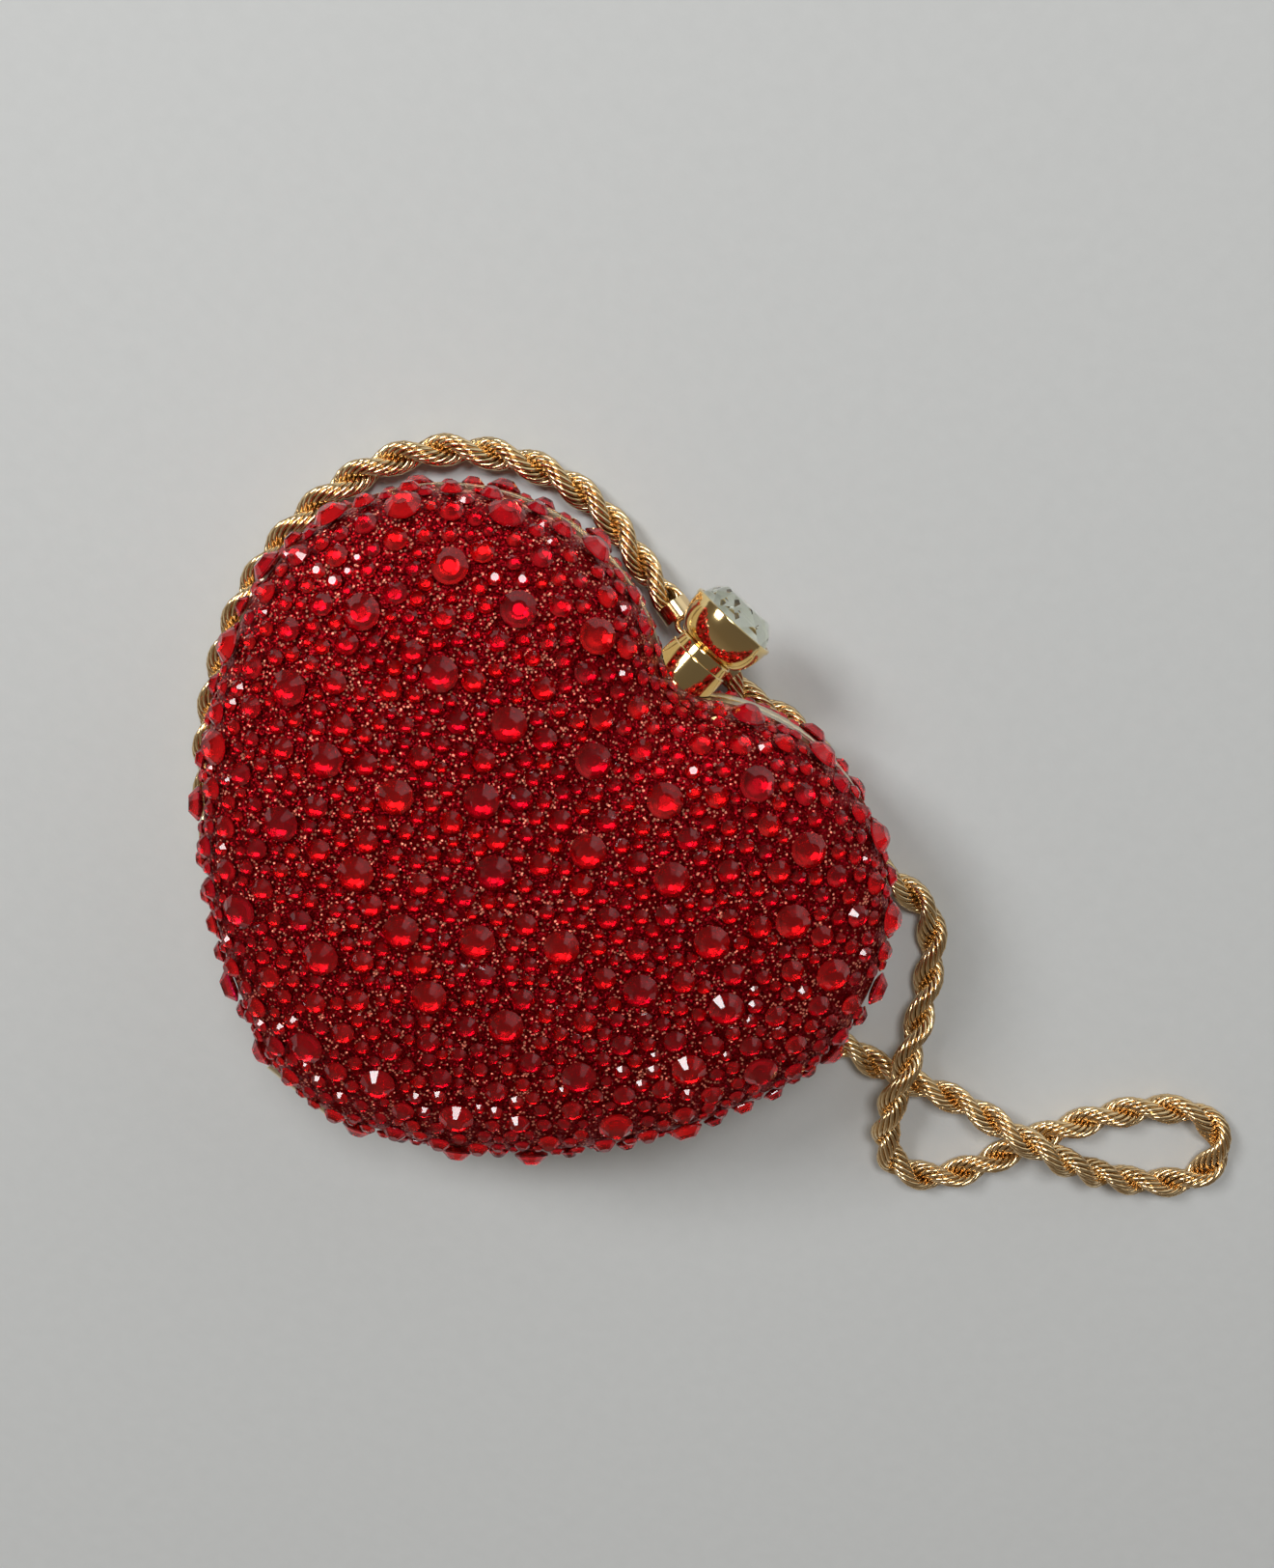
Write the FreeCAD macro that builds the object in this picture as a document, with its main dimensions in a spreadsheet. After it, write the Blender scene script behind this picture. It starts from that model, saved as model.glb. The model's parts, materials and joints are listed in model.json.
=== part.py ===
import FreeCAD, Part
import math
import os
import random
import Sketcher

# A hard-shelled heart purse lying on its back shell.
# X runs across the lobes, Y from the hinge at the tip to the clasp in the notch, Z up out of the front.

doc = FreeCAD.newDocument("heart_purse")

# Driving dimensions in millimetres, one line each
DIMENSIONS = {
    # heart outline, taken at the outer face of the two metal rims
    "lobe_offset": 30.8,
    "lobe_radius": 43.8,
    "side_radius": 104.0,
    "tip_radius": 31.6,
    "notch_radius": 10.6,
    "tip_drop": 50.0,
    "lobe_line": 15.8,
    # rims
    "rim_height": 5.0,
    "rim_width": 3.8,
    "rim_rounding": 0.8,
    "parting_gap": 0.3,
    # domed shells and their linings
    "shell_setback": 0.8,
    "shell_wall": 1.6,
    "lining_wall": 0.6,
    "lining_gap": 0.3,
    "dome_rise": 18.0,
    "dome_inset": 14.0,
    "crown_scale": 0.32,
    "crown_drop": 9.0,
    # flat-backed crystals
    "large_diameter": 7.1,
    "large_height": 2.9,
    "large_spacing": 14.0,
    "large_edge_spacing": 14.0,
    "medium_diameter": 4.7,
    "medium_height": 2.1,
    "medium_spacing": 8.4,
    "medium_edge_spacing": 5.7,
    "small_diameter": 3.4,
    "small_height": 1.5,
    "small_spacing": 3.8,
    "small_edge_spacing": 3.8,
    "stone_gap": 0.4,
    "stone_hollow": 0.13,
    "stone_hinge_room": 9.0,
    "stone_clasp_room": 10.4,
    "stone_ring_room": 22.0,
    "rest_room": 9.3,
    "rest_pitch": 7.6,
    "glue_gap": 0.15,
    # hinge at the tip
    "knuckle_radius": 2.0,
    "knuckle_length": 5.6,
    "knuckle_gap": 0.3,
    "hinge_pin_radius": 0.8,
    "hinge_standoff": 0.4,
    "leaf_height": 3.4,
    # clasp: collar, bushing and push knob
    "running_clearance": 0.05,
    "seat_clearance": 0.02,
    "body_clearance": 0.3,
    "collar_radius": 6.7,
    "collar_height": 6.4,
    "collar_floor": 3.4,
    "bushing_radius": 3.5,
    "bushing_reach": 2.6,
    "stem_radius": 2.0,
    "neck_radius": 6.2,
    "neck_height": 2.4,
    "knob_stroke": 2.0,
    "spring_radius": 3.9,
    "spring_wall": 1.3,
    "spring_pocket": 2.4,
    "cup_base_radius": 5.4,
    "cup_lip_wall": 0.8,
    "cup_height": 8.0,
    "cup_lip_height": 0.9,
    "cup_lip_step": 0.3,
    "cup_bulge_radius": 8.5,
    "gem_radius": 8.6,
    "gem_seat_depth": 2.0,
    "gem_dome": 3.9,
    "gem_pavilion": 3.4,
    "gem_bevel": 0.9,
    "gem_bevel_height": 0.4,
    # catch inside the notch
    "latch_half_width": 7.2,
    "latch_half_height": 3.2,
    "latch_thickness": 1.5,
    "latch_gap": 0.15,
    "clip_radius": 3.4,
    "clip_thickness": 0.7,
    "stem_tail": 0.8,
    "hook_half_width": 7.4,
    "hook_drop": 4.6,
    "hook_thickness": 1.8,
    "hook_lip": 0.5,
    "hook_lip_height": 1.2,
    "hook_bridge": 3.9,
    "rivet_radius": 0.8,
    "rivet_spread": 5.6,
    "rivet_lift": 2.6,
    "rivet_grip": 2.7,
    "screw_radius": 0.8,
    "screw_head_radius": 1.4,
    "screw_spread": 4.7,
    "screw_drop": 2.9,
    "screw_grip": 2.6,
    "screw_recess": 2.3,
    # chain and what it hangs on
    "eye_radius": 3.6,
    "eye_hole_radius": 2.0,
    "eye_thickness": 1.6,
    "eye_reach": 8.0,
    "eye_drop": 12.4,
    "ring_radius": 4.2,
    "ring_wire": 0.8,
    "loop_radius": 1.9,
    "loop_wire": 0.6,
    "cap_radius": 3.5,
    "cap_length": 3.6,
    "chain_radius": 3.25,
}

sheet = doc.addObject("Spreadsheet::Sheet", "Sizes")
for row, (alias, number) in enumerate(DIMENSIONS.items(), start=1):
    sheet.set("A%d" % row, str(number))
    sheet.setAlias("A%d" % row, alias)
doc.recompute()


class Size:
    """A length that keeps its expression, for binding, beside its number, for drawing."""

    def __init__(self, text, value):
        self.text = text
        self.value = value

    @staticmethod
    def of(other):
        return other if isinstance(other, Size) else Size(repr(float(other)), float(other))

    def join(self, sign, other, value):
        return Size("(%s %s %s)" % (self.text, sign, other.text), value)

    def __add__(self, other):
        other = Size.of(other)
        return self.join("+", other, self.value + other.value)

    def __sub__(self, other):
        other = Size.of(other)
        return self.join("-", other, self.value - other.value)

    def __mul__(self, other):
        other = Size.of(other)
        return self.join("*", other, self.value * other.value)

    def __truediv__(self, other):
        other = Size.of(other)
        return self.join("/", other, self.value / other.value)

    def __radd__(self, other):
        return Size.of(other) + self

    def __rsub__(self, other):
        return Size.of(other) - self

    def __rmul__(self, other):
        return Size.of(other) * self

    def __neg__(self):
        return Size.of(0) - self

    def root(self):
        return Size("sqrt(%s)" % self.text, math.sqrt(self.value))


def size(alias):
    return Size("Sizes." + alias, float(sheet.get(alias)))


def bind(obj, prop, length):
    obj.setExpression(prop, Size.of(length).text)


# Named levels and places, worked out from the driving dimensions
parting = size("large_height") + size("dome_rise") + size("rim_height")
front_seat = parting + size("rim_height")
back_seat = parting - size("rim_height")
lobe_reach = size("lobe_radius") + size("notch_radius")
notch_rise = (lobe_reach * lobe_reach - size("lobe_offset") * size("lobe_offset")).root()
notch_centre = size("lobe_line") + notch_rise
notch = notch_centre - size("notch_radius")
tip_centre = size("lobe_line") - size("tip_drop")
tip = tip_centre - size("tip_radius")
crown_centre = size("lobe_line") - size("crown_drop")
eye_y = notch + size("eye_reach")
eye_z = parting - size("eye_drop")
X_AXIS = FreeCAD.Vector(1, 0, 0)
Y_AXIS = FreeCAD.Vector(0, 1, 0)
Z_AXIS = FreeCAD.Vector(0, 0, 1)

pieces = {}


def keep(node, obj):
    """Name an object after the node it is handed in as."""
    obj.Label = node
    pieces[node] = obj
    return obj


# Primitives whose sizes and places stay bound to the sheet
def place(obj, base, direction=Z_AXIS):
    obj.Placement = FreeCAD.Placement(FreeCAD.Vector(), FreeCAD.Rotation(Z_AXIS, direction))
    for letter, length in zip("xyz", base):
        bind(obj, "Placement.Base." + letter, length)


def cylinder(name, radius, length, base, direction=Z_AXIS):
    obj = doc.addObject("Part::Cylinder", name)
    bind(obj, "Radius", radius)
    bind(obj, "Height", length)
    place(obj, base, direction)
    return obj


def torus(name, radius, wire, base, direction):
    obj = doc.addObject("Part::Torus", name)
    bind(obj, "Radius1", radius)
    bind(obj, "Radius2", wire)
    place(obj, base, direction)
    return obj


def box(name, low, high):
    obj = doc.addObject("Part::Box", name)
    for prop, start, end in zip(("Length", "Width", "Height"), low, high):
        bind(obj, prop, Size.of(end) - start)
    place(obj, low)
    return obj


def fuse(name, *members):
    obj = doc.addObject("Part::MultiFuse", name)
    obj.Shapes = list(members)
    return obj


def cut(name, base, *tools):
    obj = doc.addObject("Part::Cut", name)
    obj.Base = base
    obj.Tool = tools[0] if len(tools) == 1 else fuse(name + "_tools", *tools)
    return obj


def common(name, first, second):
    obj = doc.addObject("Part::MultiCommon", name)
    obj.Shapes = [first, second]
    return obj


def origin_plane(body, role):
    return next(feature for feature in body.Origin.OriginFeatures if feature.Role == role)


def sketch_on(body, name, role, lift=0.0):
    sketch = body.newObject("Sketcher::SketchObject", name)
    sketch.AttachmentSupport = (origin_plane(body, role), [""])
    sketch.MapMode = "FlatFace"
    bind(sketch, "AttachmentOffset.Base.z", lift)
    return sketch


def dimension(sketch, constraint, length):
    index = sketch.addConstraint(constraint)
    bind(sketch, "Constraints[%d]" % index, length)


# The heart is six tangent arcs, so an inset heart has the same centres and other radii
ARC_NAMES = ("right_lobe", "cleft", "left_lobe", "left_side", "point", "right_side")
JOINS = (
    ("right_lobe", "end", "cleft", "end"),
    ("cleft", "start", "left_lobe", "start"),
    ("left_lobe", "end", "left_side", "start"),
    ("left_side", "end", "point", "start"),
    ("point", "end", "right_side", "start"),
    ("right_side", "end", "right_lobe", "start"),
)


def side_centre():
    """Centre of the right side arc, from its distances to the lobe and tip centres."""
    lobe = FreeCAD.Vector(size("lobe_offset").value, size("lobe_line").value, 0)
    low = FreeCAD.Vector(0, tip_centre.value, 0)
    to_lobe = size("side_radius").value - size("lobe_radius").value
    to_low = size("side_radius").value - size("tip_radius").value
    span = low - lobe
    along = (to_lobe ** 2 - to_low ** 2 + span.Length ** 2) / (2 * span.Length)
    across = math.sqrt(to_lobe ** 2 - along ** 2)
    span.normalize()
    return lobe + span * along + FreeCAD.Vector(span.y, -span.x, 0) * across


def heart_arcs(inset):
    """Name to centre, radius, first and last angle, each arc running anticlockwise."""
    lobe_x = size("lobe_offset").value
    lobe_y = size("lobe_line").value
    lobe_r = size("lobe_radius").value - inset
    side = side_centre()
    up = math.atan2(notch_centre.value - lobe_y, -lobe_x)
    out = math.atan2(lobe_y - side.y, lobe_x - side.x)
    low = math.atan2(tip_centre.value - side.y, -side.x)
    side_r = size("side_radius").value - inset
    return {
        "right_lobe": ((lobe_x, lobe_y), lobe_r, out, up),
        "cleft": ((0, notch_centre.value), size("notch_radius").value + inset, -up, up - math.pi),
        "left_lobe": ((-lobe_x, lobe_y), lobe_r, math.pi - up, math.pi - out),
        "left_side": ((-side.x, side.y), side_r, math.pi - out, math.pi - low),
        "point": ((0, tip_centre.value), size("tip_radius").value - inset, -math.pi - low, low),
        "right_side": ((side.x, side.y), side_r, low, out),
    }


def add_heart(sketch, inset):
    """Draw one inset heart in a sketch and constrain it fully."""
    arcs = heart_arcs(inset.value)
    geo = {}
    for name in ARC_NAMES:
        centre, radius, first, last = arcs[name]
        circle = Part.Circle(FreeCAD.Vector(centre[0], centre[1], 0), Z_AXIS, radius)
        geo[name] = sketch.addGeometry(Part.ArcOfCircle(circle, first, last), False)
    for one, one_end, other, other_end in JOINS:
        ends = [1 if end == "start" else 2 for end in (one_end, other_end)]
        sketch.addConstraint(Sketcher.Constraint("Tangent", geo[one], ends[0], geo[other], ends[1]))
    sketch.addConstraint(Sketcher.Constraint("Equal", geo["right_lobe"], geo["left_lobe"]))
    sketch.addConstraint(Sketcher.Constraint("Equal", geo["right_side"], geo["left_side"]))
    sketch.addConstraint(Sketcher.Constraint("PointOnObject", geo["cleft"], 3, -2))
    sketch.addConstraint(Sketcher.Constraint("PointOnObject", geo["point"], 3, -2))
    sketch.addConstraint(Sketcher.Constraint("Horizontal", geo["right_lobe"], 3, geo["left_lobe"], 3))
    radii = {
        "right_lobe": size("lobe_radius") - inset,
        "right_side": size("side_radius") - inset,
        "cleft": size("notch_radius") + inset,
        "point": size("tip_radius") - inset,
    }
    for name, radius in radii.items():
        dimension(sketch, Sketcher.Constraint("Radius", geo[name], radius.value), radius)
    places = (
        ("DistanceX", "right_lobe", size("lobe_offset")),
        ("DistanceY", "right_lobe", size("lobe_line")),
        ("DistanceY", "point", tip_centre),
    )
    for kind, name, length in places:
        dimension(sketch, Sketcher.Constraint(kind, -1, 1, geo[name], 3, length.value), length)


def rim_band(name, low, high, rounded_low):
    """One rim: a heart-shaped band, rounded along its outer edge at the parting line."""
    body = doc.addObject("PartDesign::Body", name)
    sketch = sketch_on(body, name + "_outline", "XY_Plane", low)
    add_heart(sketch, Size.of(0))
    add_heart(sketch, size("rim_width"))
    pad = body.newObject("PartDesign::Pad", name + "_pad")
    pad.Profile = sketch
    bind(pad, "Length", high - low)
    doc.recompute()
    level = low.value if rounded_low else high.value
    outer = size("lobe_radius").value, size("side_radius").value, size("tip_radius").value
    edges = []
    for number, edge in enumerate(pad.Shape.Edges, start=1):
        flat = edge.BoundBox.ZLength < 1e-6 and abs(edge.BoundBox.ZMin - level) < 1e-6
        if flat and any(abs(edge.Curve.Radius - radius) < 1e-6 for radius in outer):
            edges.append("Edge%d" % number)
    fillet = body.newObject("PartDesign::Fillet", name + "_rounding")
    fillet.Base = (pad, edges)
    bind(fillet, "Radius", size("rim_rounding"))
    return body


# Domed shells, lofted through inset and shrinking hearts
DOME_STEPS = 8


def dome_section(turn):
    """Inset, scale and rise share of the dome at a turn from the rim (0) to the crown (half pi)."""
    lean = 1 - math.cos(turn)
    scale = 1 - (1 - size("crown_scale").value) * lean ** 2
    return size("dome_inset").value * lean, scale, math.sin(turn)


def scaled(x, y, scale):
    return x * scale, crown_centre.value + (y - crown_centre.value) * scale


def heart_wire(inset, scale, height):
    edges = []
    for centre, radius, first, last in heart_arcs(inset).values():
        corners = []
        for angle in (first, (first + last) / 2, last):
            x, y = scaled(centre[0] + radius * math.cos(angle), centre[1] + radius * math.sin(angle), scale)
            corners.append(FreeCAD.Vector(x, y, height))
        edges.append(Part.Arc(*corners).toShape())
    return Part.Wire(Part.__sortEdges__(edges))


def dome(setback, rise, seat, way):
    wires = []
    for step in range(DOME_STEPS + 1):
        inset, scale, lift = dome_section(math.pi / 2 * step / DOME_STEPS)
        wires.append(heart_wire(setback + inset, scale, seat + way * rise * lift))
    return Part.makeLoft(wires, True)


def dome_layer(node, outside, wall, seat, way):
    """One layer of a half: what lies between a dome and the same dome set in by the wall."""
    setback = size("shell_setback").value + outside
    rise = size("dome_rise").value - outside
    skin = dome(setback, rise, seat, way)
    hollow = dome(setback + wall, rise - wall, seat, way)
    layer = doc.addObject("Part::Feature", node + "_layer")
    layer.Shape = skin.cut(hollow)
    keep(node, layer)
    return skin


# Crystals: polyhedra built ring by ring, with the facets of each band turned half a step
def faceted(rings, sides):
    """A closed solid through rings of (radius, height, half steps of turn)."""
    loops = []
    for radius, height, shift in rings:
        loop = []
        for side in range(sides):
            angle = 2 * math.pi * (side + shift / 2) / sides
            loop.append(FreeCAD.Vector(radius * math.cos(angle), radius * math.sin(angle), height))
        loops.append(loop)
    outlines = [loops[0], loops[-1]]
    for (lower, upper, here, above) in zip(loops, loops[1:], rings, rings[1:]):
        for side in range(sides):
            following = (side + 1) % sides
            if here[2] == above[2]:
                outlines.append([lower[side], lower[following], upper[following], upper[side]])
            else:
                outlines.append([lower[side], lower[following], upper[side]])
                outlines.append([lower[following], upper[following], upper[side]])
    faces = [Part.Face(Part.makePolygon(outline + outline[:1])) for outline in outlines]
    return Part.makeSolid(Part.makeShell(faces))


# Shares of a crystal's radius and height
BASE_SHARE = 0.96
GIRDLE_SHARE = 0.18
TABLE_SHARE = 0.45


def crystal(diameter, height, sides, plain):
    """A crystal with a girdle and turned crown facets, or a plain one with straight sides."""
    radius = diameter / 2
    base = (BASE_SHARE * radius, 0, 0)
    girdle = (radius, GIRDLE_SHARE * height, 0)
    if plain:
        return faceted((base, (TABLE_SHARE * radius, height, 0)), sides)
    return faceted((base, girdle, (TABLE_SHARE * radius, height, 1)), sides)


def outline_point(inset, scale, share):
    """The point at a share of the way round an inset, scaled heart; the cleft's arc is walked backwards."""
    arcs = heart_arcs(inset)
    lengths = {name: radius * (last - first) for name, (_, radius, first, last) in arcs.items()}
    rest = share * sum(lengths.values())
    for name in ARC_NAMES:
        if rest <= lengths[name]:
            break
        rest -= lengths[name]
    centre, radius, first, last = arcs[name]
    turn = rest / radius
    angle = last - turn if name == "cleft" else first + turn
    return scaled(centre[0] + radius * math.cos(angle), centre[1] + radius * math.sin(angle), scale)


# A step small enough to take slopes with, as a share of the way round or up
SHORT_STEP = 1e-3


def dome_point(share, climb, seat, way):
    """A point on a shell's outside: climb goes 0 to 1 from rim to crown and 1 to 2 over the crown."""
    inset, scale, lift = dome_section(math.pi / 2 * min(climb, 1))
    scale *= 2 - max(climb, 1)
    x, y = outline_point(size("shell_setback").value + inset, scale, share)
    return FreeCAD.Vector(x, y, seat + way * size("dome_rise").value * lift)


def beside(share, climb, seat, way, step):
    """The points of a shell's outside a step behind and a step ahead, going round the heart."""
    return [dome_point((share + move) % 1, climb, seat, way) for move in (-step, step)]


def dome_normal(share, climb, seat, way):
    if climb >= 1:
        return FreeCAD.Vector(0, 0, way)
    step = SHORT_STEP
    behind, ahead = beside(share, climb, seat, way, step)
    up = dome_point(share, climb + step, seat, way) - dome_point(share, climb - step, seat, way)
    normal = (ahead - behind).cross(up)
    if normal.dot(FreeCAD.Vector(0, 0, way)) < 0:
        normal = -normal
    return normal.normalize()


def hollow_under(share, climb, seat, way, radius):
    """How far the shell rises beside a flat base where it is hollow going round, as it is below the clasp."""
    behind, ahead = beside(share, climb, seat, way, SHORT_STEP)
    round_length = (ahead - behind).Length / (2 * SHORT_STEP)
    point = dome_point(share, climb, seat, way)
    normal = dome_normal(share, climb, seat, way)
    edges = beside(share, climb, seat, way, radius / round_length)
    return max(0, *((edge - point).dot(normal) for edge in edges))


def set_stones(template, spots, skin, gap):
    """Copies of a crystal standing on the skin, each square to it."""
    solids = []
    for point, normal in spots:
        on_skin = skin.distToShape(Part.Vertex(point))[1][0][0]
        stone = template.copy()
        stone.Placement = FreeCAD.Placement(on_skin + normal * gap, FreeCAD.Rotation(Z_AXIS, normal))
        solids.append(stone)
    return solids


# Throws at a shell for each size of crystal, enough to leave little room for one more
THROWS = 6000
# Places looked at round the outline for its outermost points
OUTLINE_STEPS = 360


def landmarks(diameter):
    """Shares of the way round at the outline's outermost points: lobe sides, lobe tops, beside the hinge."""
    hinge_room = size("stone_hinge_room").value + diameter / 2
    places = []
    for step in range(OUTLINE_STEPS):
        share = step / OUTLINE_STEPS
        places.append((*outline_point(0, 1, share), share))
    chosen = []
    for hand in (-1, 1):
        ours = [place for place in places if place[0] * hand > 0]
        clear = [place for place in ours if math.hypot(place[0], place[1] - tip.value) > hinge_room]
        chosen.append(max(ours, key=lambda place: place[0] * hand)[2])
        chosen.append(max(ours, key=lambda place: place[1])[2])
        chosen.append(min(clear, key=lambda place: place[1])[2])
    return chosen


def lowest_climb(diameter):
    """How far up the dome a crystal starts, so that it clears the rim."""
    return math.asin((diameter / 2 + size("stone_gap").value) / size("dome_rise").value) / (math.pi / 2)


def scatter(dice, diameter, edge_spacing, spacing, others, highest, seat, way):
    """Spots at the landmarks, then thrown at random, kept where nothing is too near and the base can lie."""
    fittings = [
        (FreeCAD.Vector(0, notch.value, seat), size("stone_clasp_room").value + diameter / 2),
        (FreeCAD.Vector(0, tip.value, seat), size("stone_hinge_room").value + diameter / 2),
    ]
    if way < 0:
        ring_spot = FreeCAD.Vector(0, eye_y.value, eye_z.value)
        fittings.append((ring_spot, size("stone_ring_room").value + diameter / 2))
    lowest = lowest_climb(diameter)
    throws = [(share, lowest) for share in landmarks(diameter)]
    for _ in range(THROWS):
        throws.append((dice.random(), lowest + (highest - lowest) * dice.random()))
    spots = []
    for share, climb in throws:
        point = dome_point(share, climb, seat, way)
        apart = edge_spacing + (spacing - edge_spacing) * min(climb, 1)
        near = any((point - spot).Length < room for spot, room in others + fittings)
        near = near or any((point - spot).Length < apart for spot, _ in spots)
        if not near and hollow_under(share, climb, seat, way, diameter / 2) < size("stone_hollow").value:
            spots.append((point, dome_normal(share, climb, seat, way)))
    return spots


def crystal_group(node, solids):
    group = doc.addObject("Part::Feature", node + "_stones")
    group.Shape = Part.makeCompound(solids)
    keep(node, group)


# Sizes of crystal, from the largest: sides, and whether the cut is plain
CRYSTAL_KINDS = (("large", 8, False), ("medium", 6, False), ("small", 6, True))


def dress_half(side, skin, seat, way, seed, rest_spots):
    """All crystals of one half, each size thrown into the room that the larger ones leave."""
    dice = random.Random(seed)
    gap = size("glue_gap").value
    highest = 1 if rest_spots else 2
    placed = [(point, size("large_diameter").value / 2) for point, _ in rest_spots]
    for kind, sides, plain in CRYSTAL_KINDS:
        diameter = size(kind + "_diameter").value
        own = diameter / 2 + size("stone_gap").value
        rooms = [(point, radius + own) for point, radius in placed]
        if kind == "large":
            rooms = [(point, size("rest_room").value) for point, _ in rest_spots]
        edge_spacing = size(kind + "_edge_spacing").value
        spacing = size(kind + "_spacing").value
        spots = scatter(dice, diameter, edge_spacing, spacing, rooms, highest, seat, way)
        template = crystal(diameter, size(kind + "_height").value - gap, sides, plain)
        crystal_group("%s_%s_crystals" % (side, kind), set_stones(template, spots, skin, gap))
        if kind == "large" and rest_spots:
            crystal_group(side + "_rest_crystals", set_stones(template, rest_spots, skin, gap))
        placed += [(point, diameter / 2) for point, _ in spots]
        print(side, kind, "crystals:", len(spots))


def crown_spots():
    """A close-set patch on the flat of the back crown, whose tables the purse lies on."""
    pitch = size("rest_pitch").value
    spots = []
    for row, count in ((-2, 1), (-1, 4), (0, 5), (1, 4)):
        for column in range(count):
            x = pitch * (column - (count - 1) / 2)
            y = crown_centre.value + pitch * row * math.sqrt(3) / 2
            spots.append((FreeCAD.Vector(x, y, size("large_height").value), -Z_AXIS))
    return spots


for side, seat, way, seed, rest_spots in (
    ("front", front_seat.value, 1, 11, []),
    ("back", back_seat.value, -1, 23, crown_spots()),
):
    lining_start = size("shell_wall").value + size("lining_gap").value
    skin = dome_layer(side + "_shell", 0.0, size("shell_wall").value, seat, way)
    dome_layer(side + "_lining", lining_start, size("lining_wall").value, seat, way)
    dress_half(side, skin, seat, way, seed, rest_spots)

# Hinge at the tip: one knuckle on the lid between two on the back half, and a pin
hinge_y = tip - size("hinge_standoff") - size("knuckle_radius")
pin_bore = size("hinge_pin_radius") + size("running_clearance")
knuckle_step = size("knuckle_length") + size("knuckle_gap")
half_gap = size("parting_gap") / 2


def knuckle(name, middle, low, high):
    """A hinge barrel with the leaf that joins it to its rim, between two heights."""
    start = Size.of(middle) - size("knuckle_length") / 2
    end = Size.of(middle) + size("knuckle_length") / 2
    corner = (start, hinge_y, parting)
    barrel = cylinder(name + "_barrel", size("knuckle_radius"), end - start, corner, X_AXIS)
    leaf = box(name + "_leaf", (start, hinge_y, low), (end, tip + size("knuckle_radius"), high))
    bore = cylinder(name + "_bore", pin_bore, end - start, corner, X_AXIS)
    rim_face = cylinder(
        name + "_rim_face",
        size("tip_radius") + size("seat_clearance"),
        size("rim_height") * 4,
        (0, tip_centre, parting - size("rim_height") * 2),
    )
    return cut(name, fuse(name + "_blank", barrel, leaf), bore, rim_face)


front_leaf_low = parting + half_gap
front_leaf_high = front_leaf_low + size("leaf_height")
back_leaf_high = parting - half_gap
back_leaf_low = back_leaf_high - size("leaf_height")
keep("hinge_front_knuckle", knuckle("front_knuckle", 0, front_leaf_low, front_leaf_high))
left_knuckle = knuckle("left_knuckle", -knuckle_step, back_leaf_low, back_leaf_high)
right_knuckle = knuckle("right_knuckle", knuckle_step, back_leaf_low, back_leaf_high)
back_knuckles = doc.addObject("Part::Compound", "back_knuckles")
back_knuckles.Links = [left_knuckle, right_knuckle]
keep("hinge_back_knuckles", back_knuckles)
pin_length = knuckle_step * 2 + size("knuckle_length")
keep("hinge_pin", cylinder(
    "hinge_rod", size("hinge_pin_radius"), pin_length, (-pin_length / 2, hinge_y, parting), X_AXIS))


# Turned pieces: profiles revolved about the clasp axis, which runs along Y at the parting height
def turned(name, profile):
    """A body turned from (radius, y) corners; a third value is the arc's radius to the next corner."""
    body = doc.addObject("PartDesign::Body", name)
    bind(body, "Placement.Base.z", parting)
    sketch = sketch_on(body, name + "_profile", "XY_Plane")
    corners = [FreeCAD.Vector(Size.of(corner[0]).value, Size.of(corner[1]).value, 0) for corner in profile]
    ends = []
    for index, corner in enumerate(profile):
        start = corners[index]
        end = corners[(index + 1) % len(corners)]
        if len(corner) == 2:
            geo = sketch.addGeometry(Part.LineSegment(start, end), False)
            ends.append((geo, 1, 2))
            continue
        bulge = corner[2]
        chord = end - start
        reach = math.sqrt(bulge.value ** 2 - (chord.Length / 2) ** 2)
        inward = FreeCAD.Vector(-chord.y, chord.x, 0).normalize()
        centre = (start + end) / 2 + inward * reach
        first = math.atan2(start.y - centre.y, start.x - centre.x)
        last = math.atan2(end.y - centre.y, end.x - centre.x)
        circle = Part.Circle(centre, Z_AXIS, bulge.value)
        geo = sketch.addGeometry(Part.ArcOfCircle(circle, first, last), False)
        ends.append((geo, 1, 2))
        dimension(sketch, Sketcher.Constraint("Radius", geo, bulge.value), bulge)
    for index, (geo, start, end) in enumerate(ends):
        following, following_start, _ = ends[(index + 1) % len(ends)]
        sketch.addConstraint(Sketcher.Constraint("Coincident", geo, end, following, following_start))
        radius, height = Size.of(profile[index][0]), Size.of(profile[index][1])
        if radius.value == 0:
            sketch.addConstraint(Sketcher.Constraint("PointOnObject", geo, start, -2))
        else:
            dimension(sketch, Sketcher.Constraint("DistanceX", -1, 1, geo, start, radius.value), radius)
        dimension(sketch, Sketcher.Constraint("DistanceY", -1, 1, geo, start, height.value), height)
    turn = body.newObject("PartDesign::Revolution", name + "_turn")
    turn.Profile = sketch
    turn.ReferenceAxis = (sketch, ["V_Axis"])
    turn.Angle = 360
    return body


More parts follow.
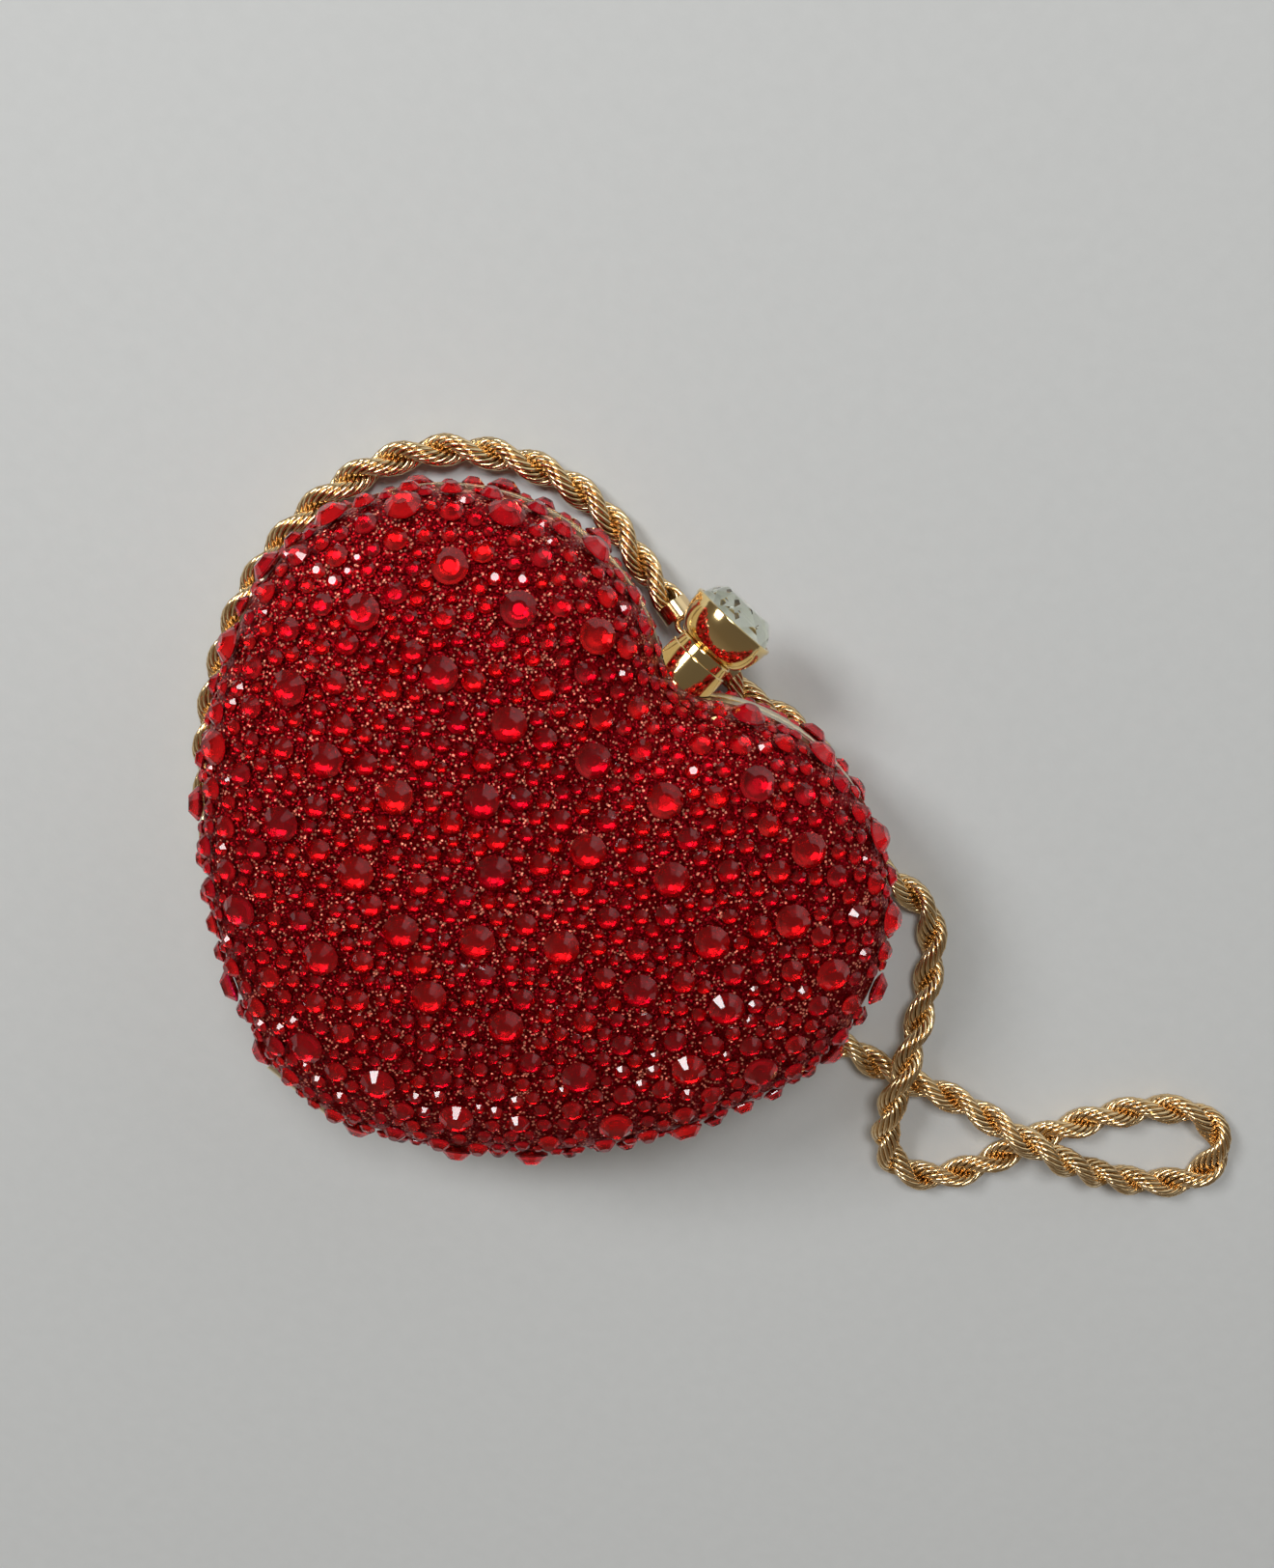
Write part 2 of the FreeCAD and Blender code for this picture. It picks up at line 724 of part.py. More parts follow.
# Clasp levels along Y
rim_inside = notch - size("rim_width")
collar_floor = notch + size("collar_floor")
collar_top = notch + size("collar_height")
neck_low = collar_floor + size("knob_stroke") + size("body_clearance")
neck_top = collar_top + size("neck_height")
cup_top = neck_top + size("cup_height")
lip_low = cup_top - size("cup_lip_height")
stem_top = neck_top + size("stem_radius")
spring_top = neck_low + size("spring_pocket")
bushing_low = rim_inside - size("bushing_reach")
latch_high = bushing_low - size("latch_gap")
latch_low = latch_high - size("latch_thickness")
clip_low = latch_low - size("clip_thickness")
stem_low = clip_low - size("stem_tail")
stem_bore = size("stem_radius") + size("seat_clearance")
stem_guide = size("stem_radius") + size("running_clearance")
bushing_seat = size("bushing_radius") + size("seat_clearance")
neck_bore = size("neck_radius") + size("running_clearance")
gem_bore = size("gem_radius") + size("running_clearance")
cup_lip = size("gem_radius") + size("cup_lip_wall")
gem_seat = cup_top - size("gem_seat_depth")

# Round pins that lie along Y beside the clasp, as solids and as the holes they go in
def pair_along_y(name, spread, radius, low, high, level):
    length = high - low
    members = [
        cylinder("%s_%s" % (name, hand), radius, length, (spread * way, low, level), Y_AXIS)
        for hand, way in (("left", -1), ("right", 1))
    ]
    group = doc.addObject("Part::Compound", name)
    group.Links = members
    return group


seat_clearance = size("seat_clearance")
screw_seat = rim_inside + size("screw_recess")
screw_head_low = screw_seat - size("screw_radius")
screw_tip = notch + size("screw_grip")
screw_level = parting - size("screw_drop")
rivet_level = parting + size("rivet_lift")
hook_low = rim_inside - size("body_clearance") - size("hook_thickness")
rivet_tip = rim_inside + size("rivet_grip")


def collar_screws(name, clearance, head_low):
    """Two screws from inside the back rim into the collar, or the holes for them."""
    spread = size("screw_spread")
    shank = size("screw_radius") + clearance
    head = size("screw_head_radius") + clearance
    shanks = pair_along_y(name + "_shanks", spread, shank, screw_seat, screw_tip, screw_level)
    heads = pair_along_y(name + "_heads", spread, head, head_low, screw_seat, screw_level)
    return fuse(name, shanks, heads)


def hook_rivets(name, clearance):
    """Two flush rivets that hold the hook to the front rim, or the holes for them."""
    return pair_along_y(
        name, size("rivet_spread"), size("rivet_radius") + clearance, hook_low, rivet_tip, rivet_level)


def bushing_hole(name, clearance):
    low = rim_inside - size("rim_width")
    length = size("rim_width") * 4
    return cylinder(name, size("bushing_radius") + clearance, length, (0, low, parting), Y_AXIS)


keep("collar_screws", collar_screws("screws", Size.of(0), screw_head_low))
keep("hook_rivets", hook_rivets("rivets", Size.of(0)))

# Rims, with the half-round openings for the bushing and the fastener holes
front_band = rim_band("front_band", parting + half_gap, front_seat, True)
keep("front_rim", cut(
    "front_rim_drilled", front_band,
    bushing_hole("front_rim_gap", size("body_clearance")),
    hook_rivets("front_rim_holes", seat_clearance)))
back_band = rim_band("back_band", back_seat, parting - half_gap, False)
keep("back_rim", cut(
    "back_rim_drilled", back_band,
    bushing_hole("back_rim_gap", seat_clearance),
    collar_screws("back_rim_holes", seat_clearance, rim_inside - size("rim_width"))))

# Collar: its foot is coped to the curve of the notch
collar_blank = turned("collar_blank", (
    (bushing_seat, notch - size("collar_floor")),
    (size("collar_radius"), notch - size("collar_floor")),
    (size("collar_radius"), collar_top),
    (neck_bore, collar_top),
    (neck_bore, collar_floor),
    (bushing_seat, collar_floor),
))
notch_space = cylinder(
    "notch_space",
    size("notch_radius") - size("body_clearance") / 2,
    size("collar_radius") * 4,
    (0, notch_centre, parting - size("collar_radius") * 2),
)
collar_coped = common("collar_coped", collar_blank, notch_space)
collar_holes = collar_screws("collar_holes", seat_clearance, rim_inside - size("rim_width"))
keep("clasp_collar", cut("collar", collar_coped, collar_holes))
keep("clasp_bushing", turned("bushing", (
    (stem_guide, bushing_low),
    (size("bushing_radius"), bushing_low),
    (size("bushing_radius"), collar_floor),
    (stem_guide, collar_floor),
)))

# Push knob: stem, neck, cup and the clear crystal in it
keep("knob_stem", turned("stem", (
    (0, stem_low),
    (size("stem_radius"), stem_low),
    (size("stem_radius"), stem_top),
    (0, stem_top),
)))
spring_bore = size("spring_radius") + size("body_clearance")
keep("knob_neck", turned("neck", (
    (spring_bore, neck_low),
    (size("neck_radius"), neck_low),
    (size("neck_radius"), neck_top),
    (stem_bore, neck_top),
    (stem_bore, spring_top),
    (spring_bore, spring_top),
)))
keep("knob_cup", turned("cup", (
    (stem_bore, neck_top),
    (size("cup_base_radius"), neck_top, size("cup_bulge_radius")),
    (cup_lip - size("cup_lip_step"), lip_low),
    (cup_lip, lip_low),
    (cup_lip, cup_top),
    (gem_bore, cup_top),
    (gem_bore, gem_seat),
    (stem_bore, stem_top + size("seat_clearance")),
)))
# Rings of the knob crystal's crown: shares of its radius and of its dome, and half steps of turn
GEM_CROWN = ((0.8, 0.6, 1), (0.45, 1.0, 0))
gem_radius = size("gem_radius").value
gem_rings = [
    (size("stem_radius").value, -size("gem_pavilion").value, 0),
    (gem_radius - size("gem_bevel").value, -size("gem_bevel_height").value, 0),
    (gem_radius, 0, 0),
    (gem_radius, size("gem_seat_depth").value, 0),
]
for across, up, turn in GEM_CROWN:
    gem_rings.append((across * gem_radius, size("gem_seat_depth").value + up * size("gem_dome").value, turn))
gem = doc.addObject("Part::Feature", "gem")
gem.Shape = faceted(gem_rings, sides=12)
gem_base = FreeCAD.Vector(0, gem_seat.value, parting.value)
gem.Placement = FreeCAD.Placement(gem_base, FreeCAD.Rotation(Z_AXIS, Y_AXIS))
keep("knob_crystal", gem)
keep("clasp_spring", turned("spring", (
    (size("spring_radius") - size("spring_wall"), collar_floor),
    (size("spring_radius"), collar_floor),
    (size("spring_radius"), spring_top),
    (size("spring_radius") - size("spring_wall"), spring_top),
)))

# Catch: a plate held on the stem by a clip, and the forked hook on the front rim
latch_block = box(
    "latch_block",
    (-size("latch_half_width"), latch_low, parting - size("latch_half_height")),
    (size("latch_half_width"), latch_high, parting + size("latch_half_height")),
)
latch_hole_low = latch_low - size("latch_thickness")
latch_hole = cylinder(
    "latch_hole", stem_bore, size("latch_thickness") * 3, (0, latch_hole_low, parting), Y_AXIS)
keep("latch_plate", cut("latch", latch_block, latch_hole))
keep("retaining_clip", turned("clip", (
    (stem_bore, clip_low),
    (size("clip_radius"), clip_low),
    (size("clip_radius"), latch_low),
    (stem_bore, latch_low),
)))
hook_side = size("hook_half_width")
hook_foot = parting - size("hook_drop")
hook_block = box(
    "hook_block", (-hook_side, hook_low, hook_foot), (hook_side, notch, front_seat - half_gap))
hook_lips = box(
    "hook_lips",
    (-hook_side, hook_low - size("hook_lip"), hook_foot),
    (hook_side, hook_low, hook_foot + size("hook_lip_height")),
)
fork = size("bushing_radius") + size("body_clearance")
fork_gap = box(
    "fork_gap",
    (-fork, hook_low - size("rim_width"), hook_foot - size("rim_height")),
    (fork, notch + size("rim_width"), parting + size("hook_bridge")),
)
inner_face = size("notch_radius") + size("rim_width")
hook_cope = cylinder(
    "hook_cope",
    inner_face + seat_clearance,
    size("rim_height") * 4,
    (0, notch_centre, hook_foot - size("rim_height")),
)
leg_cope = cylinder(
    "leg_cope",
    inner_face + size("body_clearance"),
    size("hook_drop") + size("rim_height") + half_gap,
    (0, notch_centre, hook_foot - size("rim_height")),
)
keep("clasp_hook", cut(
    "hook", fuse("hook_blank", hook_block, hook_lips),
    fork_gap, hook_cope, leg_cope, hook_rivets("hook_holes", seat_clearance)))

# Chain eye: a lug on the underside of the collar that carries the chain's ring
eye_half = size("eye_thickness") / 2
eye_disc = cylinder("eye_disc", size("eye_radius"), size("eye_thickness"), (-eye_half, eye_y, eye_z), X_AXIS)
eye_arm = box(
    "eye_arm",
    (-eye_half, notch + size("eye_hole_radius"), eye_z),
    (eye_half, collar_top - size("body_clearance"), parting),
)
eye_bridge = box(
    "eye_bridge",
    (-eye_half, notch + size("eye_hole_radius"), eye_z - size("eye_hole_radius")),
    (eye_half, eye_y, eye_z + size("eye_hole_radius")),
)
eye_hole = cylinder(
    "eye_hole",
    size("eye_hole_radius"),
    size("eye_thickness") * 3,
    (-size("eye_thickness"), eye_y, eye_z),
    X_AXIS,
)
eye_cope = cylinder(
    "eye_cope",
    size("collar_radius") + seat_clearance,
    size("collar_height") * 4,
    (0, notch - size("collar_height"), parting),
    Y_AXIS,
)
keep("chain_eye", cut("eye", fuse("eye_blank", eye_disc, eye_arm, eye_bridge), eye_hole, eye_cope))
# Share of the free room in a hole that a link hangs down in it
HANG = 0.6
ring_top = eye_z - (size("eye_hole_radius") - size("ring_wire")) * HANG
ring_z = ring_top - size("ring_radius")
keep("chain_ring", torus("ring", size("ring_radius"), size("ring_wire"), (0, eye_y, ring_z), Y_AXIS))


# Chain: a plain tube along straight runs joined by tangent arcs, lying round the purse.
# Points are (x, y from the lobe line, height of the middle); with no height given it lies on the floor.
ROUTE = (
    (-20, 45.2, 4.2), (-31, 47.8), (-43, 47.4), (-55, 43.2), (-66, 35.6), (-74, 24.5), (-78, 11), (-79, -3),
    (-77, -18), (-71.5, -33), (-63, -48), (-51.5, -61), (-37, -71), (-19, -78), (0, -80), (19.5, -74.5),
    (36, -63.5), (50.5, -50), (62, -35), (70.5, -20), (79, -9), (88.5, -4.4), (98, -3.4), (108, -0.4),
    (117, 3.4, 4.6), (125, 5.6, 7.6), (132.5, 7.4, 10.2), (142.5, 9.6, 10.2), (150, 11.4, 7.4),
    (158, 14, 4.4), (166, 18.6), (172.6, 26.2), (171.8, 34.9), (164, 39), (155, 35), (147.4, 26.6),
    (141.6, 17.2), (137, 7.4), (133.6, -2.8), (129, -12.5), (121.5, -18.5), (113.5, -17.4, 4.4),
    (107.4, -12, 7.4), (103.4, -6.6, 10.2), (99.4, 2.2, 10.2), (96.6, 9, 7.2), (92.6, 17, 4.2), (87, 25),
    (80.5, 31), (73, 31.4), (65, 29.8), (56, 32.6), (46.5, 37.6), (35.5, 40.8), (24.5, 41.2),
    (15.8, 38.4, 4.8),
)


def route_point(place):
    height = place[2] if len(place) == 3 else size("chain_radius").value
    return FreeCAD.Vector(place[0], place[1] + size("lobe_line").value, height)


# End caps: a short sleeve with a loop that goes through the ring, below its middle by this many degrees
RING_DROOP = 15


def chain_cap(node, ring_turn, place):
    """A cap that leaves the ring at a turn from the ring's +X and points at the chain's next place."""
    turn = math.radians(ring_turn)
    reach = FreeCAD.Vector(math.cos(turn), 0, math.sin(turn)) * size("ring_radius").value
    on_ring = FreeCAD.Vector(0, eye_y.value, ring_z.value) + reach
    heading = (route_point(place) - on_ring).normalize()
    wire_way = FreeCAD.Vector(-math.sin(turn), 0, math.cos(turn))
    slack = size("loop_radius").value - size("loop_wire").value - size("ring_wire").value
    loop_centre = on_ring + heading * slack * HANG
    axis = (wire_way - heading * wire_way.dot(heading)).normalize()
    loop = Part.makeTorus(size("loop_radius").value, size("loop_wire").value, loop_centre, axis)
    start = loop_centre + heading * size("loop_radius").value
    sleeve = Part.makeCylinder(size("cap_radius").value, size("cap_length").value, start, heading)
    cap = doc.addObject("Part::Feature", node + "_turned")
    cap.Shape = sleeve.fuse(loop)
    keep(node, cap)
    return start + heading * size("cap_length").value


left_end = chain_cap("left_chain_cap", 180 + RING_DROOP, ROUTE[0])
right_end = chain_cap("right_chain_cap", -RING_DROOP, ROUTE[-1])


# Share of the shorter run that an arc takes up on each side of its point
ARC_SHARE = 0.45


def rounded_path(points):
    """One wire of straight runs with an arc at every inner point, as large as its shorter run allows."""
    edges = []
    radii = []
    start = points[0]
    for before, point, after in zip(points, points[1:], points[2:]):
        to_before = before - point
        to_after = after - point
        bend = math.pi - to_before.getAngle(to_after)
        reach = ARC_SHARE * min(to_before.Length, to_after.Length)
        radii.append(reach / math.tan(bend / 2))
        entry = point + to_before.normalize() * reach
        leave = point + to_after.normalize() * reach
        inward = (to_before + to_after).normalize()
        depth = radii[-1] / math.cos(bend / 2) - radii[-1]
        edges.append(Part.LineSegment(start, entry).toShape())
        edges.append(Part.Arc(entry, point + inward * depth, leave).toShape())
        start = leave
    edges.append(Part.LineSegment(start, points[-1]).toShape())
    return Part.Wire(edges), radii


chain_path, chain_bends = rounded_path([left_end] + [route_point(place) for place in ROUTE] + [right_end])
first_run = chain_path.Edges[0]
section = Part.Wire(Part.Circle(
    first_run.valueAt(first_run.FirstParameter), first_run.tangentAt(first_run.FirstParameter),
    size("chain_radius").value).toShape())
chain = doc.addObject("Part::Feature", "chain_tube")
chain.Shape = chain_path.makePipeShell([section], True, False)
keep("rope_chain", chain)
chain_ideal = math.pi * size("chain_radius").value ** 2 * chain_path.Length
print("chain length %.1f" % chain_path.Length, "volume share %.4f" % (chain.Shape.Volume / chain_ideal))
print("chain bend radii", " ".join("%.1f" % radius for radius in chain_bends))

# Check everything before anything is written
doc.recompute()
for obj in doc.Objects:
    if "Invalid" in obj.State or "Error" in obj.State:
        raise RuntimeError("%s did not build" % obj.Label)
for node, obj in pieces.items():
    if obj.Shape.isNull() or not obj.Shape.isValid() or not obj.Shape.Solids:
        raise RuntimeError("%s is not a valid solid" % node)
os.makedirs("parts", exist_ok=True)
for node, obj in pieces.items():
    obj.Shape.exportStep("parts/%s.step" % node)
    bounds = obj.Shape.BoundBox
    low = "%.1f %.1f %.1f" % (bounds.XMin, bounds.YMin, bounds.ZMin)
    high = "%.1f %.1f %.1f" % (bounds.XMax, bounds.YMax, bounds.ZMax)
    print(node, len(obj.Shape.Solids), "solids %.1f mm3" % obj.Shape.Volume, low, "to", high)
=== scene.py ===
# %% [markdown]
# # A heart shaped evening purse set with red crystals
# The purse lies on its back half, with the hinge at the tip of the heart and the push knob in the notch.
# The frame holds every rigid piece at its true place and size, so each cell below dresses one of them.
# The script works in metres, in the frame's own axes: X across the lobes, Y to the knob, Z up.

# %% Load the frame
import json

import bmesh
import bpy
import numpy as np
from mathutils import Matrix, Vector
from mathutils.bvhtree import BVHTree


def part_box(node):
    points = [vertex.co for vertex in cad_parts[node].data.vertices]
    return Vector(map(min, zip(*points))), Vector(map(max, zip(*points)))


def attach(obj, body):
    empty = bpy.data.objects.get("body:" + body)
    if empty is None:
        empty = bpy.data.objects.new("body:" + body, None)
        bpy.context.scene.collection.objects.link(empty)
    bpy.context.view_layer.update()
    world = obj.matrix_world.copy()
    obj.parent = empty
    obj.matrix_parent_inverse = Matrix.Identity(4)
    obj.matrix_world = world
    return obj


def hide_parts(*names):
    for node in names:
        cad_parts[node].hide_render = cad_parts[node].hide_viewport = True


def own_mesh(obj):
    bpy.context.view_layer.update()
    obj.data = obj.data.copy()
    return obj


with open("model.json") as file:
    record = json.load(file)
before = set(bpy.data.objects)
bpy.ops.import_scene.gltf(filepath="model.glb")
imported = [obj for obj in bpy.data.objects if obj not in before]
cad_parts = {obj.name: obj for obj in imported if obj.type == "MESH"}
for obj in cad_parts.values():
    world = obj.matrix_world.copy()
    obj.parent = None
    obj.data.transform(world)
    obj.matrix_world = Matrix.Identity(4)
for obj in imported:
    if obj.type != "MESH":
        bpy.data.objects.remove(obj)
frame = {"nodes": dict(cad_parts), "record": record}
NODES = frame["nodes"]
BODY_OF = {node: body for body, nodes in frame["record"]["behaviour"]["bodies"].items() for node in nodes}
SLOT_OF = {row["node"]: row["material_slot"] for row in frame["record"]["subparts"]}
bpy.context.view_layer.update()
MM = 0.001
MERGE_DISTANCE = 0.002 * MM

# %% [markdown]
# ## The camera
# The picture was taken from almost straight above the front half, a little towards the clasp,
# and rolled so that the tip points to the lower left.
# A camera can be aimed by eye, but here its place and its three axes were fitted to the heart's outline.
# The focal length is kept in pixels of the picture and turned into millimetres of lens.
# The plain view transform keeps deep reds saturated, where a filmic one would turn them to pink.

# %% Camera
PICTURE_HEIGHT = 1624
FOCAL_PIXELS = 1600
SENSOR = 36.0
CAMERA_PLACE = Vector((-0.0427, 0.0850, 0.3312))
CAMERA_RIGHT = Vector((0.74127, 0.67121, 0.00002))
CAMERA_UP = Vector((-0.65148, 0.71948, -0.24067))
CAMERA_BACK = Vector((-0.16155, 0.17838, 0.97061))

camera_data = bpy.data.cameras.new("photo_camera")
camera_data.sensor_width = SENSOR
camera_data.lens = SENSOR * FOCAL_PIXELS / PICTURE_HEIGHT
camera_data.clip_start = 0.01
camera = bpy.data.objects.new("photo_camera", camera_data)
bpy.context.scene.collection.objects.link(camera)
camera_turn = Matrix((CAMERA_RIGHT, CAMERA_UP, CAMERA_BACK)).transposed()
camera.matrix_world = Matrix.Translation(CAMERA_PLACE) @ camera_turn.to_4x4()
bpy.context.scene.camera = camera
bpy.context.scene.view_settings.view_transform = "Standard"
print("camera: lens %.2f mm" % camera_data.lens)

# %% [markdown]
# ## Node trees as Python
# Materials and Geometry Nodes are both trees of nodes joined by sockets,
# and long lists of links are hard to read.
# One small class wraps a socket: its operators add Math nodes, and `node` adds any other node,
# with its settings first and then the values or links of its sockets.


# %% Sockets that can be added and multiplied
class Flow:
    """One output socket of a node tree, or just the tree before there is any socket."""

    def __init__(self, tree, socket=None):
        self.tree = tree
        self.socket = socket

    def node(self, kind, settings=None, sockets=None, output=0):
        """Add a node: settings first, then sockets by name or number, each a value or a Flow."""
        made = self.tree.nodes.new(kind)
        for name, value in (settings or {}).items():
            if name == "stops":
                self.set_ramp(made.color_ramp, value)
            else:
                setattr(made, name, value)
        for name, value in (sockets or {}).items():
            if isinstance(value, Flow):
                self.tree.links.new(value.socket, made.inputs[name])
            else:
                made.inputs[name].default_value = value
        return Flow(self.tree, made.outputs[output])

    @staticmethod
    def set_ramp(ramp, stops):
        while len(ramp.elements) < len(stops):
            ramp.elements.new(0.5)
        for element, (position, tint) in zip(ramp.elements, stops):
            element.position = position
            element.color = tint

    def maths(self, operation, first, second=0.0):
        return self.node("ShaderNodeMath", {"operation": operation}, {0: first, 1: second})

    def __add__(self, other):
        return self.maths("ADD", self, other)

    def __sub__(self, other):
        return self.maths("SUBTRACT", self, other)

    def __mul__(self, other):
        return self.maths("MULTIPLY", self, other)

    def __rsub__(self, other):
        return self.maths("SUBTRACT", other, self)

    __radd__ = __add__
    __rmul__ = __mul__

    def above(self, level):
        return self.maths("GREATER_THAN", self, level)

    def vector(self, operation, first, second=(0, 0, 0)):
        return self.node("ShaderNodeVectorMath", {"operation": operation}, {0: first, 1: second})

    def blend(self, factor, first, second):
        """A colour between two colours."""
        return self.node("ShaderNodeMix", {"data_type": "RGBA"}, {0: factor, 6: first, 7: second}, 2)


def finish_of(name, even, build=None):
    """A material: even values go on the shader's own sockets, and build adds what varies over it."""
    material = bpy.data.materials.new(name)
    material.use_nodes = True
    shader = material.node_tree.nodes["Principled BSDF"]
    for socket, value in even.items():
        shader.inputs[socket].default_value = value
    varied = build(Flow(material.node_tree)) if build else {}
    for socket, flow in varied.items():
        material.node_tree.links.new(flow.socket, shader.inputs[socket])
    return material


def colour(red, green, blue):
    return (red, green, blue, 1.0)


# %% [markdown]
# ## Polished gold
# The rims, the clasp and the chain are plated in a pale champagne gold.
# Bare metal in a render looks too clean, so the roughness and the tint wander a little over the piece,
# and a very fine bump gives the plating its hairline polish marks.


# %% Gold finishes
def gold(name, light, dark, roughness, mark_size):
    def build(flow):
        place = flow.node("ShaderNodeTexCoord", output=3)
        cloud = flow.node("ShaderNodeTexNoise", None, {"Vector": place, "Scale": 90.0, "Detail": 3.0})
        marks = flow.node(
            "ShaderNodeTexNoise", None, {"Vector": place, "Scale": 1 / mark_size, "Detail": 2.0})
        bump = flow.node("ShaderNodeBump", None, {"Strength": 0.04, "Distance": 0.02 * MM, "Height": marks})
        return {
            "Base Color": flow.blend(cloud, light, dark),
            "Roughness": cloud * 0.10 + roughness,
            "Normal": bump,
        }

    return finish_of(name, {"Metallic": 1.0}, build)


RIM_GOLD = gold("rim_gold", colour(0.95, 0.84, 0.62), colour(0.87, 0.72, 0.48), 0.14, 0.5 * MM)
KNOB_GOLD = gold("knob_gold", colour(0.98, 0.76, 0.38), colour(0.93, 0.67, 0.29), 0.06, 0.8 * MM)
CHAIN_GOLD = gold("chain_gold", colour(0.97, 0.75, 0.43), colour(0.86, 0.58, 0.29), 0.13, 0.3 * MM)
print("gold finishes: rim, knob, chain")

# %% [markdown]
# ## The chain's route
# The shoulder chain is one limp rope of links, both ends caught by a ring under the clasp.
# It goes round the left lobe and the tip, out to two flat loops beside the purse,
# and back under the right lobe.
# The frame's plain tube follows the same points; here they steer one smooth spline.

# %% Chain route
CHAIN_DIAMETER = 6.5 * MM
CAP_FACE_DEPTH = 1.5 * MM
ROUTE_RESOLUTION = 10
ROUTE = (
    (-0.0200, 0.0610, 0.0042), (-0.0310, 0.0636), (-0.0430, 0.0632), (-0.0550, 0.0590), (-0.0660, 0.0514),
    (-0.0740, 0.0403), (-0.0780, 0.0268), (-0.0790, 0.0128), (-0.0770, -0.0022), (-0.0715, -0.0172),
    (-0.0630, -0.0322), (-0.0515, -0.0452), (-0.0370, -0.0552), (-0.0190, -0.0622), (0.0000, -0.0642),
    (0.0195, -0.0587), (0.0360, -0.0477), (0.0505, -0.0342), (0.0620, -0.0192), (0.0705, -0.0042),
    (0.0790, 0.0068), (0.0885, 0.0114), (0.0980, 0.0124), (0.1080, 0.0154), (0.1170, 0.0192, 0.0046),
    (0.1250, 0.0214, 0.0076), (0.1325, 0.0232, 0.0102), (0.1425, 0.0254, 0.0102), (0.1500, 0.0272, 0.0074),
    (0.1580, 0.0298, 0.0044), (0.1660, 0.0344), (0.1726, 0.0420), (0.1718, 0.0507), (0.1640, 0.0548),
    (0.1550, 0.0508), (0.1474, 0.0424), (0.1416, 0.0330), (0.1370, 0.0232), (0.1336, 0.0130),
    (0.1290, 0.0033), (0.1215, -0.0027), (0.1135, -0.0016, 0.0044), (0.1074, 0.0038, 0.0074),
    (0.1034, 0.0092, 0.0102), (0.0994, 0.0180, 0.0102), (0.0966, 0.0248, 0.0072), (0.0926, 0.0328, 0.0042),
    (0.0870, 0.0408), (0.0805, 0.0468), (0.0730, 0.0472), (0.0650, 0.0456), (0.0560, 0.0484),
    (0.0465, 0.0534), (0.0355, 0.0566), (0.0245, 0.0570), (0.0158, 0.0542, 0.0048),
)


def mesh_points(node):
    return np.array([vertex.co for vertex in NODES[node].data.vertices])


def cap_mouth(node, toward):
    """The middle of an end cap's open face, which is the face furthest along the way to a point."""
    points = mesh_points(node)
    low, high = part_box("chain_ring")
    heading = np.array(toward - (low + high) / 2)
    along = points @ heading / np.linalg.norm(heading)
    face = points[along > along.max() - CAP_FACE_DEPTH]
    return Vector((face.min(axis=0) + face.max(axis=0)) / 2)


middle = [Vector((*place, CHAIN_DIAMETER / 2)[:3]) for place in ROUTE]
chain_start = cap_mouth("left_chain_cap", middle[0])
chain_end = cap_mouth("right_chain_cap", middle[-1])
control = [chain_start, *middle, chain_end]
route_curve = bpy.data.curves.new("chain_route", "CURVE")
route_curve.dimensions = "3D"
route_curve.resolution_u = ROUTE_RESOLUTION
spline = route_curve.splines.new("NURBS")
spline.points.add(len(control) - 1)
for point, place in zip(spline.points, control):
    point.co = (*place, 1.0)
spline.order_u = 3
spline.use_endpoint_u = True
route_object = bpy.data.objects.new("chain_route", route_curve)
bpy.context.scene.collection.objects.link(route_object)
route_mesh = bpy.data.meshes.new_from_object(route_object)
chain_path = [vertex.co.copy() for vertex in route_mesh.vertices]
bpy.data.objects.remove(route_object)
path_length = sum((b - a).length for a, b in zip(chain_path, chain_path[1:]))
print("chain path: %d points, %.3f m" % (len(chain_path), path_length))

# %% [markdown]
# ## Growing pieces with Geometry Nodes
# Links and crystals repeat by the hundred, so each kind is drawn once and a node tree sets out the copies.
# A tree has named inputs; the modifier that runs it gets their values by the sockets' identifiers.
# Its result is then kept as a plain mesh, because later steps and other programs know nothing of the tree.


# %% Trees and the pieces they grow
def new_tree(name, inputs):
    """An empty Geometry Nodes tree, and its inputs as Flows by name."""
    tree = bpy.data.node_groups.new(name, "GeometryNodeTree")
    tree.is_modifier = True
    tree.interface.new_socket("Geometry", in_out="INPUT", socket_type="NodeSocketGeometry")
    for label, kind in inputs.items():
        tree.interface.new_socket(label, in_out="INPUT", socket_type="NodeSocket" + kind)
    tree.interface.new_socket("Geometry", in_out="OUTPUT", socket_type="NodeSocketGeometry")
    entry = tree.nodes.new("NodeGroupInput")
    return tree, {socket.name: Flow(tree, socket) for socket in entry.outputs if socket.name}


def close_tree(tree, result):
    leave = tree.nodes.new("NodeGroupOutput")
    tree.links.new(result.socket, leave.inputs[0])


def grow(name, seed_mesh, tree, values):
    """Run a tree on a mesh and keep what it makes as a plain mesh object."""
    piece = bpy.data.objects.new(name, seed_mesh)
    bpy.context.scene.collection.objects.link(piece)
    modifier = piece.modifiers.new("grow", "NODES")
    modifier.node_group = tree
    for item in tree.interface.items_tree:
        if item.in_out == "INPUT" and item.name in values:
            modifier[item.identifier] = values[item.name]
    depsgraph = bpy.context.evaluated_depsgraph_get()
    made = bpy.data.meshes.new_from_object(piece.evaluated_get(depsgraph), depsgraph=depsgraph)
    piece.modifiers.remove(modifier)
    piece.data = made
    made.name = name
    return piece


